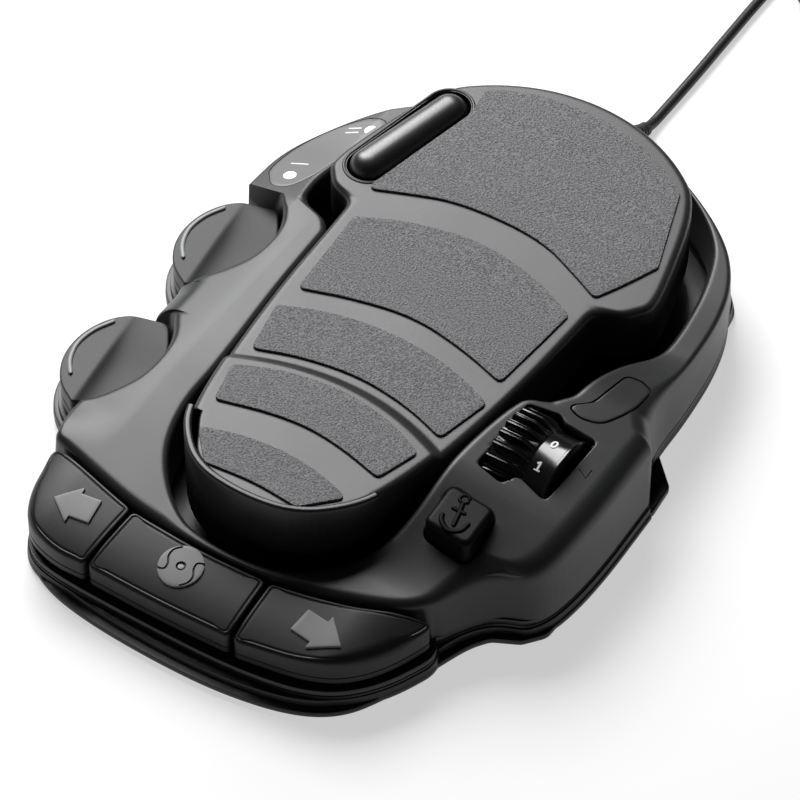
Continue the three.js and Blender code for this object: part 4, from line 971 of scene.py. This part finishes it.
tread_grid = np.hstack([
    flat_columns((zero, tread_inner), (T_EDGE * 0.6, tread_inner - 1), (T_EDGE - 3, edge_z - 5),
                 (T_EDGE - 3, SKIRT_Z + 0.3), (T_EDGE - 2.6, SKIRT_Z), (T_EDGE - 0.4, SKIRT_Z),
                 (T_EDGE, SKIRT_Z + 0.4), (T_EDGE, (edge_z + SKIRT_Z) / 2)), tread_top])
treadle = skin("treadle_shell", tread_grid, 42)
x0, y0, x1, y1 = BAR
POCKET_R = 10.5
cut(treadle, [slab_object("tool", capsule_line(*BAR, POCKET_R), ((x0 + x1) / 2, (y0 + y1) / 2),
                          level(30), level(90))], angle=42)
wear(treadle, charcoal, "treadle", "shell_plastic", "treadle_plate")
BOSS_X = 35.0
under_parts = []
for k, x0 in enumerate((-BOSS_X, BOSS_X - 7)):
    boss = block(f"pivot_boss_{k + 1}", x0, x0 + 7, PIVOT_Y - 8, PIVOT_Y + 8, PIVOT_Z - 8, 47.5)
    under_parts.append(bored(boss, PIVOT_Y, PIVOT_Z, PIN_R))
for k, y in enumerate(SPRINGS_Y):
    top_z = float(tread_height(np.zeros(1), np.array([y]))[0]) - 3.6
    under_parts.append(puck(f"spring_guide_{k + 1}", 0, y, 3.4, top_z - 4.4, top_z, 0.4))
under_parts.append(puck("magnet_stem", 22, PIVOT_Y + 30, 4, 24, 47, 0.3, 32))
for part in under_parts:
    wear(part, charcoal, "treadle", "shell_plastic")


def capsule_shell(name, line, profile):
    """A profile of (radius, height) carried round a round-ended bar; a point on a straight side
    keeps its place along the bar. Heights may be numbers or functions of x and y."""
    x0, y0, x1, y1 = line
    long = math.hypot(x1 - x0, y1 - y0)
    outline = capsule_line(0, 0, long, 0, 1.0)
    spine = np.clip(outline[:, 0], 0, long)
    away = np.stack([outline[:, 0] - spine, outline[:, 1]], 1)
    turn = math.atan2(y1 - y0, x1 - x0)
    c, s = math.cos(turn), math.sin(turn)
    columns = []
    for r, z in profile:
        px, py = spine + away[:, 0] * r, away[:, 1] * r
        gx, gy = x0 + c * px - s * py, y0 + s * px + c * py
        columns.append(np.stack([gx, gy, z(gx, gy) if callable(z) else np.full(len(gx), z)], 1))
    return skin(name, np.stack(columns, 1), 45)


over = above(tread_height)
bar_cup = capsule_shell("bar_pocket", BAR, [
    (0, 36.5), (12.8, 36.5), (12.8, over(-1.5)), (12.7, over(-0.4)), (12.3, over(0.25)),
    (11.8, over(0.5)), (11.3, over(0.42)), (10.85, over(0.1)), (10.6, over(-0.5)),
    (10.5, over(-1.4)), (10.5, 39), (10.1, 38.5), (0, 38.5)])
wear(bar_cup, charcoal, "treadle", "shell_plastic")
curl = np.linspace(0, np.pi / 2, 14)
bar_profile = [(0, 44.4), (8.4, 44.4), (9.2, 45.0)] \
    + [(9.2 * math.cos(a) ** 0.85, 49.5 + 9.0 * math.sin(a)) for a in curl[:-1]] + [(0, 58.5)]
bar = capsule_shell("bar_key", BAR, bar_profile)
satin = grained("satin_black", (0.008, 0.008, 0.0085), (0.012, 0.012, 0.0125), 0.38, 900, 0.02,
                0.15, shine=0.8)
wear(bar, satin, "bar", "black_gloss", "bar_button")

# Tread pads: five grey rubber inserts, bonded into shallow recesses of the tread. They stand a
# little proud of it, and their top has a coarse anti-slip grain.
PAD_H = 1.2
PADS = [
    [(-63, 68, 3), (-48, 74, 20), (-22, 83.5, 40), (22, 83.5, 40), (50, 71, 20), (62, 65, 3),
     (69, 78, 20), (77, 96, 3), (62, 141, 3), (45, 152, 30), (22, 161, 40), (-5, 164, 60),
     (-32, 160.5, 30), (-50, 151, 3), (-47.5, 134, 12), (-58, 90, 60)],
    across([(-54, -2, 3), (-30, 6, 30), (0, 11.5, 60)])
    + across([(58, 50, 3), (35, 61, 30), (0, 68, 60)]),
    across([(-50, -45, 3), (-28, -37, 30), (0, -33, 60)])
    + across([(56, -16, 3), (32, -6, 30), (0, -2, 60)]),
    across([(-43, -84, 3), (-20, -77.5, 30), (0, -75, 60)])
    + across([(49, -61, 3), (28, -51, 30), (0, -46.5, 60)]),
    across([(-24, -119, 3), (0, -116.5, 60)])
    + across([(39, -102, 3), (20, -95.5, 30), (0, -93.5, 60)]),
]
PAD_CENTRES = [(5, 115), (0, 32), (0, -17), (0, -61), (0, -105)]
pad_tree = Tree("pad_rubber")
coarse = pad_tree.noise(1150, 2, 0.6)
spots = pad_tree.widened(coarse, 0.34, 0.66)
pad_tree.set(Base_Color=pad_tree.tone(spots, (0.05, 0.05, 0.053), (0.215, 0.215, 0.222)),
             Roughness=0.55 + 0.25 * coarse, Normal=pad_tree.bump(coarse, 1.0, 0.9))
for k, (corners, centre) in enumerate(zip(PADS, PAD_CENTRES)):
    pad = slab_object(f"pad_{k + 1}", even(rounded(corners), 1.0), centre, over(-0.5), over(PAD_H),
                      edge=0.35, rings=24)
    wear(pad, pad_tree.material, "treadle", "pad_rubber", f"tread_pad_{k + 1}")

# Heel cup: a separate glossy black wall round the heel, set into the treadle and standing proud,
# with a thin rolled lip and square-cut ends.
heel_rays = np.where(end[:, 1] < CUP_ENDS)[0]
turn_at = np.where(np.diff(heel_rays) > 1)[0]
pick = np.roll(heel_rays, -int(turn_at[0]) - 1) if len(turn_at) else heel_rays


def cup_top(y):
    """Height of the cup's lip: a straight line that falls towards the toe."""
    return 63.6 - 0.0825 * (y + 140)


CUP_PROFILE = [
    (-1.4, SKIRT_Z + 0.4), (-1.0, SKIRT_Z), (1.8, SKIRT_Z), (2.2, SKIRT_Z + 0.4), (2.2, 45),
    (2.15, -1.6), (1.9, -0.7), (1.4, -0.15), (0.8, 0), (-0.4, 0), (-1.0, -0.15), (-1.35, -0.6)]
cup_rows = []
square = 1 / facing(T_TREAD)[pick]
for out, z in CUP_PROFILE:
    at = RAY_O[pick] + RAY_E[pick] * (T_TREAD[pick] + out * square)[:, None]
    height = np.full(len(pick), z) if z > 5 else cup_top(at[:, 1]) + z
    cup_rows.append(np.column_stack([at, height]))
cup = strip("heel_wall", np.stack(cup_rows, 1), 40)
cup_black = grained("cup_moulding", (0.009, 0.009, 0.0095), (0.014, 0.014, 0.0145), 0.34, 900,
                    0.02, 0.15)
wear(cup, cup_black, "treadle", "cup_plastic", "heel_cup")

# Keys across the heel end: three satin moulded caps, open below. Each is nearly flat behind, rolls
# over at the front, has a fine groove along its rim and slides on a stem in a collar over its
# switch. A raised sign is moulded on each; the two discs at the left have the same stems.
BUTTON_Z = 15.0
KEYS = {
    "left": ([(-101, -125, 4), (-72, -133.5, 60), (-50, -139, 3), (-52.5, -171.5, 3),
              (-70, -172, 30), (-88.5, -165.5, 18), (-98.5, -147, 30)], (-74, -151)),
    "centre": ([(-48.5, -139.5, 3), (-13, -142, 90), (23, -141, 3), (23.5, -171.5, 3),
                (-13, -172.5, 200), (-51, -171.5, 3)], (-13, -156)),
    "right": ([(25, -141, 3), (56, -135.5, 60), (87, -122, 12), (96, -119, 5), (84.5, -149, 24),
               (65, -166, 30), (25.5, -172, 3)], (57, -148)),
}
KEY_Y = [-182, -176, -170, -163, -155, -147, -138, -126, -112]
KEY_TOP = [22.0, 24.4, 26.6, 28.6, 30.3, 31.6, 32.8, 34.0, 34.9]
SWITCHES = {"left": (-72, -152), "centre": (-13, -156), "right": (52, -152),
            "rear_disc": (-102, 22), "front_disc": (-102, -66)}
COLLAR_Z, STEM_R = 15.8, 3.2
UNDERSIDE_Z, ROOF_Z = 14.7, 18.6


def key_top(x, y):
    """Top of the three keys: one line along Y, smoothed over its corners, with a parabola that
    falls towards both ends of the row."""
    row = sum(np.interp(y + k, KEY_Y, KEY_TOP) for k in (-3, -1, 1, 3)) / 4
    return row - 0.009 * np.maximum(0, -78 - x) ** 2 - 0.0075 * np.maximum(0, x - 64) ** 2


def row_ends(x, y, full):
    """From 0 to 1, how far a point lies in the row's left end, and in its right one, whose share
    is 1 from x = full on."""
    return ease(-74, -92, x) * ease(-128, -140, y), ease(48, full, x) * ease(-125, -138, y)


def key_edge(x, y):
    """Rounding of a key's rim: tight, softer at the front, and wide at the row's outer ends."""
    left, right = row_ends(x, y, 84)
    round_off = 0.8 + 1.0 * ease(-162, -170, y) + 3.4 * np.maximum(left, 1.3 * right)
    return np.minimum(round_off, key_top(x, y) - 19)


def key_groove(d, x, y):
    """A fine groove 2 mm inside the rim, a Gaussian notch, which fades out at the outer ends."""
    left, right = row_ends(x, y, 80)
    return -0.36 * (1 - 0.8 * left) * (1 - 0.8 * right) * np.exp(-((d - 2.0) / 0.38) ** 2)


key_plastic = grained("key_moulding", (0.008, 0.0082, 0.0086), (0.012, 0.0122, 0.0127), 0.38, 1500,
                      shine=0.22)
sign_plastic = grained("sign_moulding", (0.15, 0.151, 0.155), (0.18, 0.181, 0.186), 0.42, 1500)
KEY_DEPTHS = [1.3, 1.55, 1.75, 1.9, 2.0, 2.1, 2.25, 2.45, 2.75, 3.1, 3.6, 4.6, 6.0]
KEY_WALL = [(0, 15.0), (0, 17.4), (-0.3, 17.7), (-0.3, 18.1), (0, 18.4)]
for name, (corners, centre) in KEYS.items():
    key = slab_object(f"{name}_key", even(rounded(corners), 0.8), centre, level(UNDERSIDE_Z),
                      key_top, edge=key_edge, depths=KEY_DEPTHS, rings=20, wall=KEY_WALL,
                      relief=key_groove, hollow=level(ROOF_Z), angle=36)
    wear(key, key_plastic, name, "button_plastic", f"{name}_button")
for name, (x, y) in SWITCHES.items():
    slot = "button_plastic" if name in KEYS else "disc_plastic"
    stem = puck(f"{name}_stem", x, y, STEM_R, BUTTON_Z - 0.5, BUTTON_Z + 6, 0.3, 32)
    wear(stem, key_plastic, name, slot)
    collar = puck(f"{name}_collar", x, y, 7, LIP_Z - 0.5, COLLAR_Z, 0.4)
    cut(collar, [puck("tool", x, y, STEM_R + 0.3, 5, COLLAR_Z + 3, 0.1, 32)])
    wear(collar, charcoal, "base", "shell_plastic")


on_keys = above(key_top)


def arrow_line(x, y, way, tip, tail, head, shaft, turn):
    """A block arrow about the notch behind its head, turned about it."""
    c, s = math.cos(turn), math.sin(turn)
    flat = [(-way * tip, 0, 0.5), (0, -head, 0.5), (0, -shaft, 0.3), (way * tail, -shaft, 0.5),
            (way * tail, shaft, 0.5), (0, shaft, 0.3), (0, head, 0.5)]
    return rounded([(x + c * a - s * b, y + s * a + c * b, r) for a, b, r in flat])


SIGNS = {"left": (arrow_line(-72.2, -149.7, 1, 11, 10, 9.8, 6.3, 0.12), (-73.5, -149.9)),
         "right": (arrow_line(57.3, -151.8, -1, 12.4, 11, 9.6, 6.1, -0.115), (58.6, -152))}
for name, (line, centre) in SIGNS.items():
    sign = slab_object(f"{name}_sign", even(line, 0.35), centre, on_keys(-0.6), on_keys(1.0),
                       edge=0.3, rings=8)
    wear(sign, sign_plastic, name, "button_plastic")
PROP_X, PROP_Y = -13.5, -153.2
BLADES = [(-4.7, 8.6), (-7.4, 5.5), (-7.7, 2), (-5.8, -1.5), (-5.7, -4.3), (-8, -5.4), (-9.7, -5)]
prop = slab_object("centre_sign", disc_line(PROP_X, PROP_Y, 10.4, 120), (PROP_X, PROP_Y),
                   on_keys(-0.6), on_keys(0.9), edge=0.25, rings=8)
prop_cuts = [puck("tool", PROP_X, PROP_Y, 2.3, 20, 50, 0.1)]
for way in (1, -1):
    path = smoothed([(PROP_X + way * a, PROP_Y + way * b) for a, b in BLADES])
    prop_cuts.append(bead("tool", path, 1.1, on_keys(0), 3.0, 0.3))
cut(prop, prop_cuts)
wear(prop, sign_plastic, "centre", "button_plastic")
wear(puck("centre_hub", PROP_X, PROP_Y, 1.5, 28, float(key_top(PROP_X, PROP_Y)) + 0.45, 0.2, 32),
     sign_plastic, "centre", "button_plastic")

# Discs: two round keys at the left, open below. Each has a step across its top, a raised grip rib
# near the outer rim and a plain side.
RIB = [(-13.6, 19.5), (-18.7, 9.4), (-20, -1.2), (-16.8, -11), (-11.1, -18.5)]
DISC_Z, DISC_CEILING_Z = 28.6, 19
DISC_WALL = [(0, 15.3), (0, 19.5), (-0.3, 19.8), (-0.3, 20.3), (0, 20.6)]
disc_plastic = grained("disc_moulding", (0.032, 0.0325, 0.034), (0.04, 0.0407, 0.0423), 0.42, 1500,
                       shine=0.16)
# The grip ribs' pale grey is a painted highlight: it stands in for the light that the raised rib
# catches.
rib_painted_highlight = grained("rib_moulding_painted_highlight", (0.25, 0.252, 0.258), (0.29, 0.292, 0.298), 0.4, 1500)


def disc_top(cx, cy):
    """Top of a disc: z = 0.07 d left of the line where the grip part ends, and right of it
    z = -k (1 - exp(-d / 4.5)) - 0.03 d, averaged over d so that the two meet softly. The depth k
    of this step grows from the rear to the front."""
    def height(x, y):
        deep = 2.6 - 2.0 * ease(-6, 30, y - cy)
        total = 0
        for shift in (-1.2, -0.6, 0, 0.6, 1.2):
            d = x - cx + 5 + 0.14 * (y - cy) + shift
            step = -deep * (1 - np.exp(-np.maximum(d, 0) / 4.5)) - 0.03 * d
            total = total + np.where(d < 0, 0.07 * d, step)
        return DISC_Z + total / 5
    return height


for name, (cx, cy) in DISCS.items():
    top = disc_top(cx, cy)
    cap = slab_object(f"{name}_cap", even(lens_at(name, -1.2), 0.6), (cx - 1, cy), level(BUTTON_Z),
                      top, edge=0.8, depths=[1.1, 1.5, 2.0, 3.0], rings=26, wall=DISC_WALL,
                      hollow=level(DISC_CEILING_Z), angle=36)
    wear(cap, disc_plastic, name, "disc_plastic", f"{name}_button")
    # Each rib gets the pale grey of its painted highlight.
    rib = bead(f"{name}_rib", smoothed([(cx + a, cy + b) for a, b in RIB]), 2.4, top, 1.1)
    wear(rib, rib_painted_highlight, name, "disc_plastic")

# Anchor key: a soft black square key of rubber in an opening of the pod, over a switch on its own
# stand, with a generic anchor moulded on it.
ANCHOR_Z = 53.4
soft_black = grained("soft_key", (0.003, 0.003, 0.0032), (0.005, 0.005, 0.0052), 0.38, 1300,
                     shine=0.05)


def anchor_top(x, y):
    """Top of the square key: flat, falling a little towards the heel."""
    return ANCHOR_Z + 0.03 * (y - ANCHOR_AT[1])


anchor = slab_object("anchor_key", even(grown(rounded(ANCHOR), -0.2), 0.6), ANCHOR_AT, level(39),
                     anchor_top, edge=2.4, depths=[3.0], angle=36)
wear(anchor, soft_black, "anchor", "button_rubber", "anchor_button")
ink_black = grained("sign_black", (0.001, 0.001, 0.001), (0.002, 0.002, 0.002), 0.4, 900, 0.02,
                    0.1, shine=0.03)
ring = [(79.3 + 2.2 * math.cos(a), -70.9 + 2.2 * math.sin(a))
        for a in np.linspace(0.2, 2 * np.pi + 0.1, 24)]
STROKES = [(ring, 1.7), ([(76.8, -77.6), (84.4, -77.8)], 2.3),
           ([(79.9, -73.2), (81.5, -79), (83.1, -86.5)], 2.5),
           (smoothed([(75.2, -82.2), (77.2, -86.2), (82.6, -89.2), (87, -86.8), (88.2, -81)]), 2.6)]
for k, (path, width) in enumerate(STROKES):
    stroke = bead(f"anchor_sign_{k + 1}", path, width, anchor_top, 0.6, 0.4)
    wear(stroke, ink_black, "anchor", "button_rubber")

# Dial: a thumb wheel with broad scooped ribs, whose crests run down to a number drum beside it;
# both are glossy black, turn together on a steel shaft, and the digits are printed in white.
RIBS, RIB_SAMPLES = 27, 36
WHEEL = [
    (-0.9, 3.1, 0), (-0.9, 25.4, 0.8), (-0.6, 26.1, 1), (0.0, 26.5, 1), (5.0, 26.5, 1),
    (10.0, 26.5, 1), (11.2, 26.3, 0.97), (13.0, 25.6, 0.8), (15.0, 24.6, 0.52),
    (16.6, 23.6, 0.27), (18.0, 22.65, 0.03), (18.3, 22.3, 0), (18.3, 3.1, 0)]
turn = np.linspace(0, 2 * np.pi, RIBS * RIB_SAMPLES, endpoint=False)[:, None]
phase = (turn / (2 * math.pi / RIBS) + 0.5) % 1
off = np.minimum(phase, 1 - phase)
scoop = 3.4 * ease(0.16, 0.28, off) + 0.5 * (1 - ease(0.0, 0.12, off))
a, r, k = np.array(WHEEL).T
r = r - k * scoop
wheel = skin("dial_wheel", np.dstack([np.broadcast_to(DIAL_X0 + a, r.shape),
                                      DIAL_Y + r * np.cos(turn), DIAL_Z + r * np.sin(turn)]),
             62, True)
gloss = grained("gloss_black", (0.004, 0.004, 0.0042), (0.006, 0.006, 0.0062), 0.17, 500, 0.01,
                0.1, shine=0.5)
wear(wheel, gloss, "dial", "black_gloss", "speed_wheel")
DRUM = [
    (0.3, 3.1), (0.3, 22.1), (0.7, 22.5), (14.9, 22.5), (15.1, 22.55), (15.3, 23.1), (15.6, 23.3),
    (16.5, 23.3), (16.9, 23.0), (17.0, 22.4), (17.0, 3.1)]
drum = skin("number_ring", lathe([(DIAL_XM + a, r) for a, r in DRUM], 144, (0, DIAL_Y, DIAL_Z)),
            34, True)
wear(drum, gloss, "dial", "black_gloss", "number_drum")
white_ink = grained("white_print", (0.72, 0.72, 0.72), (0.8, 0.8, 0.8), 0.4, 900, 0.01, 0.1)
DIGIT_SIZE, DIGIT_X, FIRST_DIGIT, DIGIT_STEP = 6.2, 96.6, 97.0, 33.0
ONE = [(-1.5, -2.3), (1.5, -2.3), (1.5, -1.6), (0.55, -1.6), (0.55, 2.3), (-0.2, 2.3), (-1.5, 1.4),
       (-1.2, 0.75), (-0.4, 1.15), (-0.4, -1.6), (-1.5, -1.6)]
for digit in range(10):
    if digit == 1:
        x, y = np.array(ONE).T
        lift, faces = 0.24, [list(range(len(ONE)))]
    else:
        face = bpy.data.curves.new(f"digit_{digit}", "FONT")
        face.body = str(digit)
        face.size = DIGIT_SIZE
        face.extrude = 0.08
        face.offset = 0.2
        face.align_x, face.align_y = "CENTER", "CENTER"
        draft = bpy.data.objects.new("draft", face)
        scene.collection.objects.link(draft)
        graph = bpy.context.evaluated_depsgraph_get()
        flat = bpy.data.meshes.new_from_object(draft.evaluated_get(graph))
        p = np.empty(len(flat.vertices) * 3)
        flat.vertices.foreach_get("co", p)
        x, y, z = p.reshape(-1, 3).T
        lift, faces = 0.16 + z, [list(f.vertices) for f in flat.polygons]
        bpy.data.objects.remove(draft)
    a = math.radians(180 - (FIRST_DIGIT - digit * DIGIT_STEP)) - y / DRUM_R
    r = DRUM_R + lift
    wrapped = np.column_stack([DIGIT_X + x, DIAL_Y + r * np.cos(a), DIAL_Z + r * np.sin(a)])
    number = mesh_object(f"digit_{digit}", shifted(wrapped), faces, smooth=False)
    wear(number, white_ink, "dial", "black_gloss")

# Inlays: a blank cover on the pod, the indicator film on the shelf, its two clear lenses, and plain
# printed dashes where the real film has tiny words. All of them are let into the housing.
cover = slab_object("cover_plate", even(rounded(COVER), 0.6), COVER_AT, on_deck(-1.4),
                    on_deck(0.05), edge=0.5)
wear(cover, charcoal, "base", "shell_plastic", "blank_cover")
film_grey = grained("film_grey", (0.088, 0.0885, 0.091), (0.098, 0.0985, 0.101), 0.38, 1200, 0.02,
                    0.15, shine=0.4)
film = slab_object("indicator_film", even(rounded(LABEL), 0.6), LABEL_AT, on_deck(-0.8),
                   on_deck(-0.05), edge=0.25)
half_moon = [(-91.0 + 3.3 * math.cos(a), 115 + 3.3 * math.sin(a))
             for a in np.linspace(math.radians(77), math.radians(257), 26)]
LENSES = [disc_line(*LEDS[0], 3.2), even(np.array(half_moon), 0.4)]
lens_middle = [LEDS[0], (-92.3, 115.3)]
cut(film, [slab_object("tool", grown(line, 0.12), middle, level(20), level(60), edge=0.02)
           for line, middle in zip(LENSES, lens_middle)])
wear(film, film_grey, "base", "label_film", "indicator_label")
# The lenses are milky white, and their emission is a painted glow: they light nothing as a lamp
# would.
clear = Tree("lens_white_painted_glow")
milk = clear.noise(300)
clear.set(Base_Color=clear.tone(milk, (0.82, 0.82, 0.82), (0.9, 0.9, 0.9)),
          Roughness=0.2 + 0.1 * milk, Emission_Color=(1, 1, 1, 1), Emission_Strength=0.35)
for k, (line, middle) in enumerate(zip(LENSES, lens_middle)):
    pipe = slab_object(f"indicator_lens_{k + 1}", line, middle, level(7.9), on_deck(-0.02),
                       edge=0.2, rings=5)
    wear(pipe, clear.material, "base", "light_pipe", f"light_pipe_{k + 1}")
DASHES = [((-111.5, 77.6), (-103.2, 80.2)), ((-101.4, 108.6), (-95.6, 111.2)),
          ((-101.8, 112), (-96, 114.6))]
for k, path in enumerate(DASHES):
    dash = bead(f"film_dash_{k + 1}", path, 0.8, on_deck(-0.05), 0.05, 0.2)
    wear(dash, white_ink, "base", "label_film")
